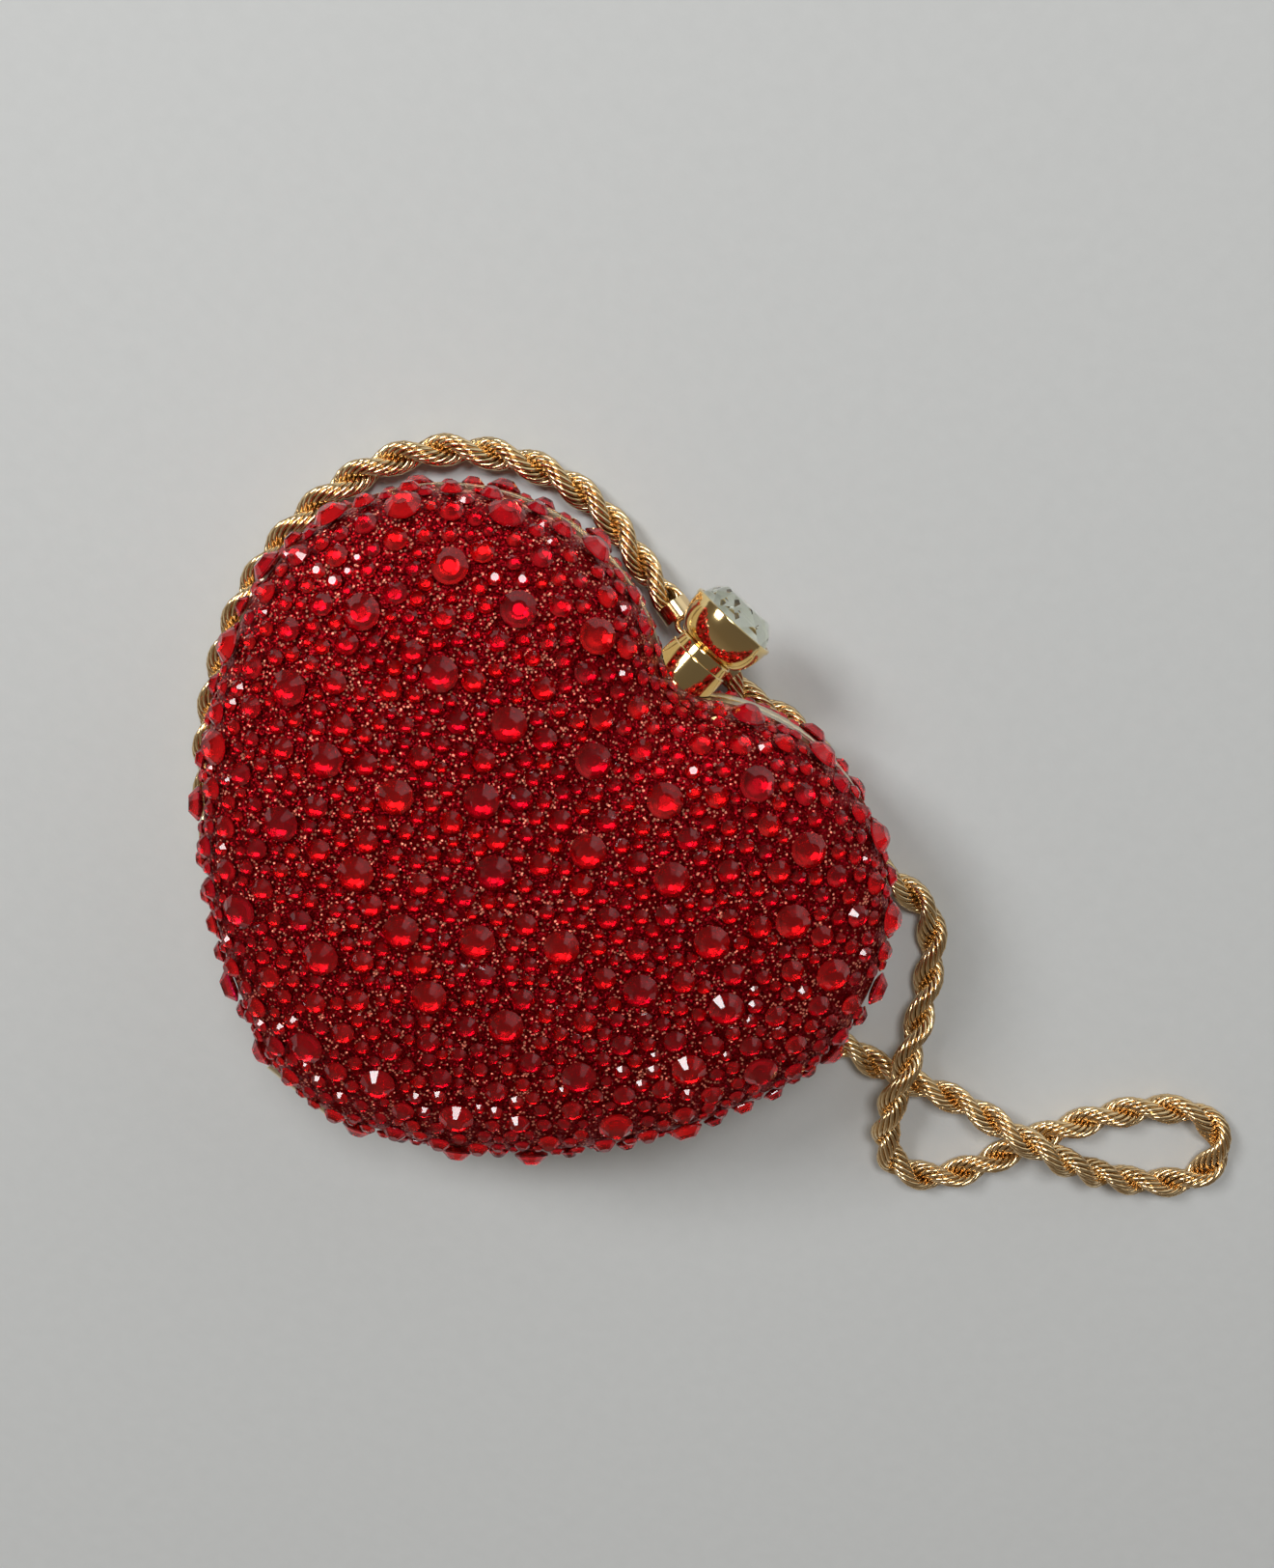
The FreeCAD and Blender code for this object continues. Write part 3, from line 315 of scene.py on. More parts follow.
def dress(piece, body, slot, *nodes):
    """Let a finished piece ride on a body, in the place of the frame's own nodes."""
    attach(piece, body)
    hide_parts(*nodes)
    triangles = sum(len(face.vertices) - 2 for face in piece.data.polygons)
    print(piece.name, "on", body, triangles, "triangles")
    return piece


# %% [markdown]
# ## The rope chain
# A rope chain is made of plain oval links. Each one is caught in those before it, moved on by about
# a wire's breadth along the chain and turned by a fixed angle, and the outsides of the links
# then read as two thick strands twisted round each other. The tree does just that: one link at every step
# along the spline, turned about the spline a little more each time.


# %% One chain link and the rope
LINK_STEP = 1.15 * MM
LINK_TURN_DEGREES = 20.7
LINK_HALF_LENGTH = 3.9 * MM
LINK_HALF_WIDTH = 2.95 * MM
WIRE_RADIUS = 0.52 * MM


def oval_link(name, around=16, sides=5):
    """A closed oval ring of round wire, long along Z and wide along X."""
    form = bmesh.new()
    rings = []
    for step in range(around):
        turn = 2 * np.pi * step / around
        centre = Vector((LINK_HALF_WIDTH * np.cos(turn), 0, LINK_HALF_LENGTH * np.sin(turn)))
        outward = Vector((np.cos(turn) / LINK_HALF_WIDTH, 0, np.sin(turn) / LINK_HALF_LENGTH)).normalized()
        ring = []
        for side in range(sides):
            roll = 2 * np.pi * side / sides
            offset = outward * np.cos(roll) + Vector((0, 1, 0)) * np.sin(roll)
            ring.append(form.verts.new(centre + offset * WIRE_RADIUS))
        rings.append(ring)
    for ring, following in zip(rings, rings[1:] + rings[:1]):
        for side in range(sides):
            beside = (side + 1) % sides
            face = form.faces.new((ring[side], ring[beside], following[beside], following[side]))
            face.smooth = True
    bmesh.ops.recalc_face_normals(form, faces=form.faces)
    mesh = bpy.data.meshes.new(name)
    form.to_mesh(mesh)
    form.free()
    link = bpy.data.objects.new(name, mesh)
    bpy.context.scene.collection.objects.link(link)
    return link


def rope_tree():
    tree, inputs = new_tree("rope_of_links", {
        "Link": "Object", "Step": "Float", "Turn": "Float", "Finish": "Material"})
    flow = Flow(tree)
    line = flow.node("GeometryNodeMeshToCurve", None, {"Mesh": inputs["Geometry"]})
    spots = flow.node(
        "GeometryNodeCurveToPoints", {"mode": "LENGTH"}, {"Curve": line, "Length": inputs["Step"]})
    facing = Flow(tree, spots.socket.node.outputs["Rotation"])
    number = flow.node("GeometryNodeInputIndex")
    spin = flow.node(
        "FunctionNodeAxisAngleToRotation", None, {"Axis": (0, 0, 1), "Angle": number * inputs["Turn"]})
    turned = flow.node(
        "FunctionNodeRotateRotation", {"rotation_space": "LOCAL"}, {"Rotation": facing, "Rotate By": spin})
    link = flow.node("GeometryNodeObjectInfo", None, {"Object": inputs["Link"]}, 4)
    copies = flow.node(
        "GeometryNodeInstanceOnPoints", None, {"Points": spots, "Instance": link, "Rotation": turned})
    solid = flow.node("GeometryNodeRealizeInstances", None, {"Geometry": copies})
    close_tree(tree, flow.node(
        "GeometryNodeSetMaterial", None, {"Geometry": solid, "Material": inputs["Finish"]}))
    return tree


chain_link = oval_link("chain_link")
rope_chain = grow("rope_chain_links", route_mesh, rope_tree(), {
    "Link": chain_link, "Step": LINK_STEP, "Turn": float(np.radians(LINK_TURN_DEGREES)),
    "Finish": CHAIN_GOLD})
bpy.data.objects.remove(chain_link)
dress(rope_chain, BODY_OF["rope_chain"], "gold_chain", "rope_chain")

# %% [markdown]
# ## Turned and polished metal
# The rims, the hinge and the chain's fittings are right in the frame,
# but their faces are loose triangles.
# A merged copy can be shaded smooth with its true edges kept sharp, and a narrow bevel
# gives those edges the thin bright line that polished metal always has.

# %% Polished copies of the metal pieces
EDGE_BEVEL = 0.12 * MM
SHARP_ANGLE = np.radians(40)
FLAT_ANGLE = np.radians(0.5)


def merged_copy(node, name):
    """A copy of a node with its triangles joined, smooth where the surface is."""
    mesh = NODES[node].data.copy()
    form = bmesh.new()
    form.from_mesh(mesh)
    bmesh.ops.remove_doubles(form, verts=form.verts, dist=MERGE_DISTANCE)
    bmesh.ops.dissolve_limit(form, angle_limit=FLAT_ANGLE, verts=form.verts, edges=form.edges)
    form.to_mesh(mesh)
    form.free()
    mesh.materials.clear()
    mesh.shade_smooth()
    mesh.set_sharp_from_angle(angle=SHARP_ANGLE)
    piece = bpy.data.objects.new(name, mesh)
    bpy.context.scene.collection.objects.link(piece)
    return piece


def polished(node, name, finish):
    piece = merged_copy(node, name)
    piece.data.materials.append(finish)
    edge = piece.modifiers.new("edge", "BEVEL")
    edge.width = EDGE_BEVEL
    edge.segments = 2
    edge.limit_method = "ANGLE"
    edge.angle_limit = SHARP_ANGLE
    edge.harden_normals = True
    return dress(piece, BODY_OF[node], SLOT_OF[node], node)


METAL_PIECES = (
    ("front_rim", "front_rim_band", RIM_GOLD),
    ("back_rim", "back_rim_band", RIM_GOLD),
    ("hinge_front_knuckle", "hinge_front_barrel", RIM_GOLD),
    ("hinge_back_knuckles", "hinge_back_barrels", RIM_GOLD),
    ("chain_eye", "chain_eye_lug", KNOB_GOLD),
    ("chain_ring", "chain_ring_wire", CHAIN_GOLD),
    ("left_chain_cap", "left_cap_sleeve", CHAIN_GOLD),
    ("right_chain_cap", "right_cap_sleeve", CHAIN_GOLD),
)
metal = {node: polished(node, name, finish) for node, name, finish in METAL_PIECES}

# %% [markdown]
# ## The turned knob
# Collar, neck and cup are lathe work: one profile each, spun about the clasp's axis.
# The frame's own meshes are too coarse for the nearest piece of mirror-bright metal in the picture,
# so the same profiles are spun again in small steps, with softly rounded corners.
# The collar's foot is coped, which means that its lower edge follows the round notch of the rims.

# %% Turned collar, neck and cup
LATHE_STEPS = 96
NOTCH_RADIUS = 10.6 * MM
COPE_GAP = 0.1 * MM
SEAT_FIT = 0.02 * MM
RUNNING_FIT = 0.05 * MM
POCKET_GAP = 0.3 * MM
COLLAR_ROUND = 0.4 * MM
NECK_ROUND = 0.7 * MM
LIP_ROUND = 0.3 * MM
knob_low, knob_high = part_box("knob_cup")
KNOB_AXIS_Z = (knob_low.z + knob_high.z) / 2


def spun(name, profile):
    """A ring spun about the clasp's axis from (radius, y) corners, listed from the foot outwards and up."""
    form = bmesh.new()
    rings = []
    for step in range(LATHE_STEPS):
        turn = 2 * np.pi * step / LATHE_STEPS
        ring = []
        for radius, height in profile:
            across = radius * np.cos(turn)
            y = height(across) if callable(height) else height
            ring.append(form.verts.new((across, y, KNOB_AXIS_Z + radius * np.sin(turn))))
        rings.append(ring)
    for ring, following in zip(rings, rings[1:] + rings[:1]):
        for corner in range(len(profile)):
            above = (corner + 1) % len(profile)
            form.faces.new((ring[corner], following[corner], following[above], ring[above]))
    bmesh.ops.recalc_face_normals(form, faces=form.faces)
    mesh = bpy.data.meshes.new(name)
    form.to_mesh(mesh)
    form.free()
    mesh.shade_smooth()
    mesh.set_sharp_from_angle(angle=SHARP_ANGLE)
    piece = bpy.data.objects.new(name, mesh)
    bpy.context.scene.collection.objects.link(piece)
    mesh.materials.append(KNOB_GOLD)
    return piece


def rounded(corner, before, after, radius, steps=5):
    """Points of a round over one profile corner, between the two sides that meet there."""
    corner, before, after = Vector(corner), Vector(before), Vector(after)
    start = corner + (before - corner).normalized() * radius
    end = corner + (after - corner).normalized() * radius
    shares = [step / steps for step in range(steps + 1)]
    return [tuple(start * (1 - s) ** 2 + corner * 2 * s * (1 - s) + end * s ** 2) for s in shares]


def ring_radius(node):
    low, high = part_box(node)
    return (high.x - low.x) / 2


def coped_foot(across):
    """Height of the collar's foot, which follows the notch, at a distance across it."""
    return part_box("clasp_collar")[0].y + NOTCH_RADIUS - (NOTCH_RADIUS ** 2 - across ** 2) ** 0.5 + COPE_GAP


collar_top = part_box("clasp_collar")[1].y
collar_radius = ring_radius("clasp_collar")
neck_low, neck_top = (corner.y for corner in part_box("knob_neck"))
neck_radius = ring_radius("knob_neck")
spring_low, spring_top = (corner.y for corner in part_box("clasp_spring"))
spring_radius = ring_radius("clasp_spring")
collar_bore = neck_radius + RUNNING_FIT
bushing_bore = ring_radius("clasp_bushing") + SEAT_FIT
stem_bore = ring_radius("knob_stem") + SEAT_FIT
pocket = spring_radius + POCKET_GAP
collar_edge = rounded(
    (collar_radius, collar_top), (collar_radius, spring_low), (collar_bore, collar_top), COLLAR_ROUND)
collar = spun("clasp_collar_ring", [
    (bushing_bore, coped_foot), (collar_radius, coped_foot), *collar_edge,
    (collar_bore, collar_top), (collar_bore, spring_low), (bushing_bore, spring_low)])
dress(collar, BODY_OF["clasp_collar"], SLOT_OF["clasp_collar"], "clasp_collar")
neck_edge = rounded((neck_radius, neck_top), (neck_radius, neck_low), (stem_bore, neck_top), NECK_ROUND)
neck = spun("knob_neck_ring", [
    (pocket, neck_low), (neck_radius, neck_low), *neck_edge,
    (stem_bore, neck_top), (stem_bore, spring_top), (pocket, spring_top)])
dress(neck, BODY_OF["knob_neck"], SLOT_OF["knob_neck"], "knob_neck")

CUP_BASE = 5.4 * MM
LIP_HEIGHT = 0.9 * MM
LIP_STEP = 0.25 * MM
GEM_SEAT = 2.0 * MM
BOWL_STEPS = 14
cup_low, cup_high = knob_low.y, knob_high.y
cup_lip = ring_radius("knob_cup")
gem_bore = ring_radius("knob_crystal") + RUNNING_FIT
bowl = []
for step in range(BOWL_STEPS + 1):
    turn = np.pi / 2 * step / BOWL_STEPS
    across = CUP_BASE + (cup_lip - LIP_STEP - CUP_BASE) * np.sin(turn)
    bowl.append((across, cup_high - LIP_HEIGHT - (cup_high - LIP_HEIGHT - cup_low) * np.cos(turn)))
lip = rounded((cup_lip, cup_high), (cup_lip, cup_low), (gem_bore, cup_high), LIP_ROUND)
cup = spun("knob_cup_bowl", [
    (stem_bore, cup_low), *bowl, (cup_lip, cup_high - LIP_HEIGHT), *lip,
    (gem_bore, cup_high), (gem_bore, cup_high - GEM_SEAT), (stem_bore, cup_low + stem_bore)])
dress(cup, BODY_OF["knob_cup"], SLOT_OF["knob_cup"], "knob_cup")

# %% [markdown]
# ## Hidden metal
# The hook and its rivets are inside the lid, and the bushing, screws, stem, latch plate and clip
# are in and under the clasp. Little of them or of the hinge pin ever shows,
# so the frame's own meshes stay and get a brushed finish.


# %% Hidden metal
def brushed(name, light, dark, roughness):
    def build(flow):
        place = flow.node("ShaderNodeTexCoord", output=3)
        grain = flow.node("ShaderNodeMapping", None, {"Vector": place, "Scale": (400.0, 6000.0, 6000.0)})
        lines = flow.node("ShaderNodeTexNoise", None, {"Vector": grain, "Scale": 1.0, "Detail": 2.0})
        bump = flow.node("ShaderNodeBump", None, {"Strength": 0.1, "Distance": 0.02 * MM, "Height": lines})
        return {
            "Base Color": flow.blend(lines, light, dark),
            "Roughness": lines * 0.2 + roughness,
            "Normal": bump,
        }

    return finish_of(name, {"Metallic": 1.0}, build)


BRUSHED_GOLD = brushed("brushed_gold", colour(0.88, 0.68, 0.38), colour(0.74, 0.53, 0.26), 0.22)
SPRING_STEEL = brushed("spring_steel", colour(0.62, 0.62, 0.64), colour(0.46, 0.46, 0.48), 0.25)
HIDDEN = {
    BRUSHED_GOLD: ("clasp_hook", "hook_rivets", "latch_plate", "knob_stem", "clasp_bushing"),
    SPRING_STEEL: ("hinge_pin", "collar_screws", "retaining_clip"),
}
for finish, nodes in HIDDEN.items():
    for node in nodes:
        NODES[node].data.materials.clear()
        NODES[node].data.materials.append(finish)
print("hidden metal:", sum(len(nodes) for nodes in HIDDEN.values()), "nodes")

# %% [markdown]
# ## The clasp's spring
# A small coil spring under the neck lifts the knob again after a push.
# The frame has a plain sleeve of the same size; here it is a spiral curve with a round wire swept along it.
# Its foot stands on the collar's floor.

# %% Coil spring
SPRING_TURNS = 3.5
SPRING_WIRE = 0.3 * MM
SPRING_WIRE_SIDES = 8
STEPS_PER_TURN = 40


def spring_tree():
    tree, inputs = new_tree("coil_spring", {
        "Radius": "Float", "Height": "Float", "Wire": "Float", "Foot": "Vector", "Finish": "Material"})
    flow = Flow(tree)
    coil = flow.node("GeometryNodeCurveSpiral", None, {
        "Resolution": STEPS_PER_TURN, "Rotations": SPRING_TURNS, "Start Radius": inputs["Radius"],
        "End Radius": inputs["Radius"], "Height": inputs["Height"]})
    section = flow.node(
        "GeometryNodeCurvePrimitiveCircle", None, {"Resolution": SPRING_WIRE_SIDES, "Radius": inputs["Wire"]})
    wire = flow.node("GeometryNodeCurveToMesh", None, {
        "Curve": coil, "Profile Curve": section, "Fill Caps": True})
    stood = flow.node("GeometryNodeTransform", None, {
        "Geometry": wire, "Translation": inputs["Foot"], "Rotation": (-np.pi / 2, 0, 0)})
    close_tree(tree, flow.node(
        "GeometryNodeSetMaterial", None, {"Geometry": stood, "Material": inputs["Finish"]}))
    return tree


spring_length = spring_top - spring_low
spring = grow("clasp_spring_coil", bpy.data.meshes.new("spring_seed"), spring_tree(), {
    "Radius": spring_radius - SPRING_WIRE, "Height": spring_length - 2 * SPRING_WIRE, "Wire": SPRING_WIRE,
    "Foot": (0, spring_low + SPRING_WIRE, KNOB_AXIS_Z), "Finish": SPRING_STEEL})
dress(spring, BODY_OF["clasp_spring"], SLOT_OF["clasp_spring"], "clasp_spring")
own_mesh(spring)

# %% [markdown]
# ## The glitter bed
# Between the crystals the shells are covered in fine red glitter with copper flecks.
# Flakes that small are not worth modelling, but each one is flat and tilted its own way.
# Cells of two Voronoi textures stand for them: the fine cells are the dark red grains,
# each with its own shade and tilt, and in about one wide cell in four lies a round copper fleck,
# pale enough to stand out.


# %% Glitter shells
GRAIN = 0.30 * MM
FLECK = 0.58 * MM
FLECK_REACH = 0.46
FLECK_SHARE = 0.26


def glitter(flow):
    place = flow.node("ShaderNodeTexCoord", output=3)
    grains = flow.node("ShaderNodeTexVoronoi", None, {"Vector": place, "Scale": 1 / GRAIN}, 1)
    from_fleck = flow.node("ShaderNodeTexVoronoi", None, {"Vector": place, "Scale": 1 / FLECK})
    lots = Flow(flow.tree, from_fleck.socket.node.outputs["Color"])
    chance = flow.node("ShaderNodeSeparateColor", None, {"Color": lots})
    fleck = chance.above(1 - FLECK_SHARE) * (FLECK_REACH - from_fleck).above(0.0)
    depth = flow.node("ShaderNodeSeparateColor", None, {"Color": grains})
    shade = flow.blend(depth, colour(0.10, 0.001, 0.004), colour(0.52, 0.008, 0.014))
    copper = flow.blend(depth, colour(0.95, 0.22, 0.14), colour(1.0, 0.42, 0.28))
    tilt = flow.vector("SUBTRACT", grains, (0.5, 0.5, 0.5))
    lean = flow.vector("MULTIPLY", tilt, (1.3, 1.3, 1.3))
    facing = flow.node("ShaderNodeNewGeometry", output=1)
    normal = flow.vector("NORMALIZE", flow.vector("ADD", facing, lean))
    return {
        "Base Color": flow.blend(fleck, shade, copper),
        "Metallic": 1.0 - fleck * 0.45,
        "Normal": normal,
    }


GLITTER = finish_of("red_glitter", {"Roughness": 0.40}, glitter)
for half in ("front", "back"):
    shell = merged_copy(half + "_shell", half + "_glitter_shell")
    shell.data.materials.append(GLITTER)
    dress(shell, BODY_OF[half + "_shell"], "red_shell", half + "_shell")

# %% [markdown]
# ## Red crystals
# A flat-back crystal has a table on top, a ring of crown facets, a girdle, and a foiled underside
# that is cut in facets too. Light goes in through the crown, bounces off the foil and comes out red,
# so the stone is made the same way: clear red glass above, satin-bright foil below.
# Some stones lean to raspberry and some to orange, so each one carries its own tone.


# %% Crystal finishes
def crystal_tint(flow):
    tone = flow.node("ShaderNodeAttribute", {"attribute_name": "tone"}, output=2)
    return {"Base Color": flow.blend(tone, colour(0.78, 0.005, 0.075), colour(0.97, 0.022, 0.04))}


RED_GLASS = finish_of("red_crystal_glass", {
    "Transmission Weight": 1.0, "Roughness": 0.015, "IOR": 1.56}, crystal_tint)


def foil_tint(flow):
    tone = flow.node("ShaderNodeAttribute", {"attribute_name": "tone"}, output=2)
    return {"Base Color": flow.blend(tone, colour(0.86, 0.12, 0.16), colour(0.98, 0.22, 0.16))}


RED_FOIL = finish_of("red_crystal_foil", {"Metallic": 1.0, "Roughness": 0.27}, foil_tint)
print("crystal finishes: glass and foil")

# %% [markdown]
# ## Cutting a crystal
# Every cut is a stack of rings of corners: a foiled dish, the girdle, and the table.
# The dish is what gives a stone its look: its middle stays dark, and the slope across from
# the main light sends it back as a bright crescent. The faces of the dish are marked as foil,
# so that one tree can give each part its own material.

# %% Crystal cuts
FOIL_DISH = ((0.32, 0.0, 0), (0.66, 0.07, 0), (1.0, 0.22, 0))
GIRDLE = 0.32


def faceted(name, rings, sides, foil_rings):
    """A closed stone through (radius, height, half steps of turn) rings; the first bands are foiled."""
    form = bmesh.new()
    foil = form.faces.layers.bool.new("foil")
    loops = []
    for radius, height, shift in rings:
        turns = [2 * np.pi * (side + shift / 2) / sides for side in range(sides)]
        places = [(radius * np.cos(turn), radius * np.sin(turn), height) for turn in turns]
        loops.append([form.verts.new(place) for place in places])
    form.faces.new(reversed(loops[0]))[foil] = True
    form.faces.new(loops[-1])
    for band, (lower, upper) in enumerate(zip(loops, loops[1:])):
        for side in range(sides):
            beside = (side + 1) % sides
            if rings[band][2] == rings[band + 1][2]:
                corners = [(lower[side], lower[beside], upper[beside], upper[side])]
            elif rings[band][2] < rings[band + 1][2]:
                corners = [
                    (lower[side], lower[beside], upper[side]), (lower[beside], upper[beside], upper[side])]
            else:
                corners = [
                    (lower[side], upper[beside], upper[side]), (lower[side], lower[beside], upper[beside])]
            for corner in corners:
                form.faces.new(corner)[foil] = band < foil_rings
    bmesh.ops.recalc_face_normals(form, faces=form.faces)
    mesh = bpy.data.meshes.new(name)
    form.to_mesh(mesh)
    form.free()
    stone = bpy.data.objects.new(name, mesh)
    bpy.context.scene.collection.objects.link(stone)
    return stone


def flat_back(name, sides, height, table):
    rings = (*FOIL_DISH, (1, GIRDLE, 0), (table, height, 0))
    return faceted(name, rings, sides, foil_rings=2)


CUTS = {
    "large": flat_back("large_cut", 12, 0.80, 0.46),
    "medium": flat_back("medium_cut", 10, 0.86, 0.46),
    "small": flat_back("small_cut", 8, 0.80, 0.48),
}


def stone_tree():
    """Copies of one cut on every point, square to the stored normal, each with its own spin and tone."""
    tree, inputs = new_tree("set_crystals", {
        "Cut": "Object", "Glass": "Material", "Foil": "Material", "Seed": "Int"})
    flow = Flow(tree)
    normal = flow.node("GeometryNodeInputNamedAttribute", {"data_type": "FLOAT_VECTOR"}, {"Name": "facing"})
    radius = flow.node("GeometryNodeInputNamedAttribute", {"data_type": "FLOAT"}, {"Name": "girth"})
    upright = flow.node("FunctionNodeAlignRotationToVector", {"axis": "Z"}, {"Vector": normal})
    angle = flow.node(
        "FunctionNodeRandomValue", {"data_type": "FLOAT"},
        {2: 0.0, 3: 2 * np.pi, "Seed": inputs["Seed"]}, 1)
    spin = flow.node("FunctionNodeAxisAngleToRotation", None, {"Axis": (0, 0, 1), "Angle": angle})
    turned = flow.node(
        "FunctionNodeRotateRotation", {"rotation_space": "LOCAL"}, {"Rotation": upright, "Rotate By": spin})
    cut = flow.node("GeometryNodeObjectInfo", None, {"Object": inputs["Cut"]}, 4)
    stones = flow.node("GeometryNodeInstanceOnPoints", None, {
        "Points": inputs["Geometry"], "Instance": cut, "Rotation": turned, "Scale": radius})
    tone = flow.node(
        "FunctionNodeRandomValue", {"data_type": "FLOAT"}, {2: 0.0, 3: 1.0, "Seed": inputs["Seed"] + 7}, 1)
    toned = flow.node(
        "GeometryNodeStoreNamedAttribute", {"domain": "INSTANCE"},
        {"Geometry": stones, "Name": "tone", "Value": tone})
    solid = flow.node("GeometryNodeRealizeInstances", None, {"Geometry": toned})
    foiled = flow.node("GeometryNodeInputNamedAttribute", {"data_type": "BOOLEAN"}, {"Name": "foil"})
    glass = flow.node("GeometryNodeSetMaterial", None, {"Geometry": solid, "Material": inputs["Glass"]})
    close_tree(tree, flow.node("GeometryNodeSetMaterial", None, {
        "Geometry": glass, "Selection": foiled, "Material": inputs["Foil"]}))
    return tree


SET_CRYSTALS = stone_tree()
print("crystal cuts:", ", ".join(CUTS))

# %% [markdown]
# ## Where the crystals sit
# The frame has three sizes of crystals as plain solids, so their places are read from it:
# each loose solid gives its base, its axis and its girth. The tiniest crystals, which fill the last gaps,
# are thrown at the shell like darts, and a dart stays where no other crystal and no fitting is too near.


# %% Places of the crystals
def solids_of(node):
    """The corners of each separate solid of a node, always in the same order."""
    form = bmesh.new()
    form.from_mesh(NODES[node].data)
    bmesh.ops.remove_doubles(form, verts=form.verts, dist=MERGE_DISTANCE)
    waiting = dict.fromkeys(form.verts)
    groups = []
    while waiting:
        front = [waiting.popitem()[0]]
        group = list(front)
        while front:
            vertex = front.pop()
            for edge in vertex.link_edges:
                other = edge.other_vert(vertex)
                if other in waiting:
                    del waiting[other]
                    front.append(other)
                    group.append(other)
        groups.append(np.array([vertex.co for vertex in group]))
    form.free()
    return groups


def seat_of(corners):
    """Base, axis and girth of one crystal solid, from the spread of its corners."""
    centre = corners.mean(axis=0)
    spread = np.linalg.eigh(np.cov((corners - centre).T))
    axis = spread[1][:, 0]
    along = (corners - centre) @ axis
    across = np.linalg.norm(corners - centre - np.outer(along, axis), axis=1)
    if along[across.argmin()] < 0:
        axis = -axis
        along = -along
    return centre + axis * along.min(), axis, across.max()


def seats_of(node):
    return [seat_of(corners) for corners in solids_of(node)]


SLIVER_AREA = 1e-12
OUTSIDE_LEAST = 0.5 * MM


def outer_triangles(half):
    """Corners and outward normals of the triangles on a shell's outside."""
    mesh = NODES[half + "_shell"].data
    mesh.calc_loop_triangles()
    points = mesh_points(half + "_shell")
    corners = np.array([points[list(triangle.vertices)] for triangle in mesh.loop_triangles])
    normals = np.cross(corners[:, 1] - corners[:, 0], corners[:, 2] - corners[:, 0])
    areas = np.linalg.norm(normals, axis=1) / 2
    keep = areas > SLIVER_AREA
    corners, normals, areas = corners[keep], normals[keep] / (2 * areas[keep, None]), areas[keep]
    low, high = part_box(half + "_rim")
    middle_of_half = np.array((low + high) / 2)
    outside = ((corners.mean(axis=1) - middle_of_half) * normals).sum(axis=1) > OUTSIDE_LEAST
    return corners[outside], normals[outside], areas[outside]


def joined_tree(nodes):
    """One search tree over several nodes, to ask how near a fitting is."""
    points = []
    faces = []
    for node in nodes:
        start = len(points)
        points.extend(vertex.co for vertex in NODES[node].data.vertices)
        faces.extend([start + index for index in face.vertices] for face in NODES[node].data.polygons)
    return BVHTree.FromPolygons(points, faces)


FITTINGS = joined_tree((
    "front_rim", "back_rim", "clasp_collar", "knob_cup", "knob_neck", "chain_eye", "chain_ring",
    "left_chain_cap", "right_chain_cap", "hinge_front_knuckle", "hinge_back_knuckles"))
TINY_SIZES = ((3.2 * MM, 9000), (2.4 * MM, 14000))
STONE_GAP = 0.12 * MM
GLUE = 0.06 * MM


def throw_tiny(half, seats, seed):
    """Tiny crystals for the last gaps on one shell, the bigger of them first."""
    dice = np.random.default_rng(seed)
    corners, normals, areas = outer_triangles(half)
    places = np.array([seat[0] for seat in seats])
    girths = np.array([seat[2] for seat in seats])
    added = []
    for diameter, throws in TINY_SIZES:
        picks = dice.choice(len(areas), throws, p=areas / areas.sum())
        for pick, (u, v) in zip(picks, dice.random((throws, 2))):
            if u + v > 1:
                u, v = 1 - u, 1 - v
            corner = corners[pick]
            place = corner[0] + u * (corner[1] - corner[0]) + v * (corner[2] - corner[0])
            room = girths + diameter / 2 + STONE_GAP
            if (((places - place) ** 2).sum(axis=1) < room ** 2).any():
                continue
            if FITTINGS.find_nearest(Vector(place))[3] < diameter / 2 + STONE_GAP:
                continue
            added.append((place + normals[pick] * GLUE, normals[pick], diameter / 2))
            places = np.vstack((places, place))
            girths = np.append(girths, diameter / 2)
    return added


def set_crystals(name, seats, cut, seed, body, *nodes):
    """One piece of crystals: points with a facing and a girth, dressed by the tree."""
    seeds = bpy.data.meshes.new(name + "_places")
    seeds.from_pydata([seat[0] for seat in seats], [], [])
    facing = seeds.attributes.new("facing", "FLOAT_VECTOR", "POINT")
    facing.data.foreach_set("vector", np.ravel([seat[1] for seat in seats]))
    girth = seeds.attributes.new("girth", "FLOAT", "POINT")
    girth.data.foreach_set("value", [seat[2] for seat in seats])
    piece = grow(name, seeds, SET_CRYSTALS, {
        "Cut": CUTS[cut], "Glass": RED_GLASS, "Foil": RED_FOIL, "Seed": seed})
    print(name, len(seats), "crystals")
    return dress(piece, body, "red_crystal", *nodes)


for half, seed in (("front", 3), ("back", 17)):
    body = BODY_OF[half + "_shell"]
    large = seats_of(half + "_large_crystals")
    medium = seats_of(half + "_medium_crystals")
    small = seats_of(half + "_small_crystals")
    rest = seats_of(half + "_rest_crystals") if half == "back" else []
    set_crystals(half + "_large_stones", large, "large", seed, body, half + "_large_crystals")
    set_crystals(half + "_medium_stones", medium, "medium", seed + 1, body, half + "_medium_crystals")
    if rest:
        set_crystals(half + "_rest_stones", rest, "large", seed + 2, body, half + "_rest_crystals")
    tiny = throw_tiny(half, large + medium + small + rest, seed)
    set_crystals(half + "_small_stones", small + tiny, "small", seed + 3, body, half + "_small_crystals")
for cut in CUTS.values():
    bpy.data.objects.remove(cut)

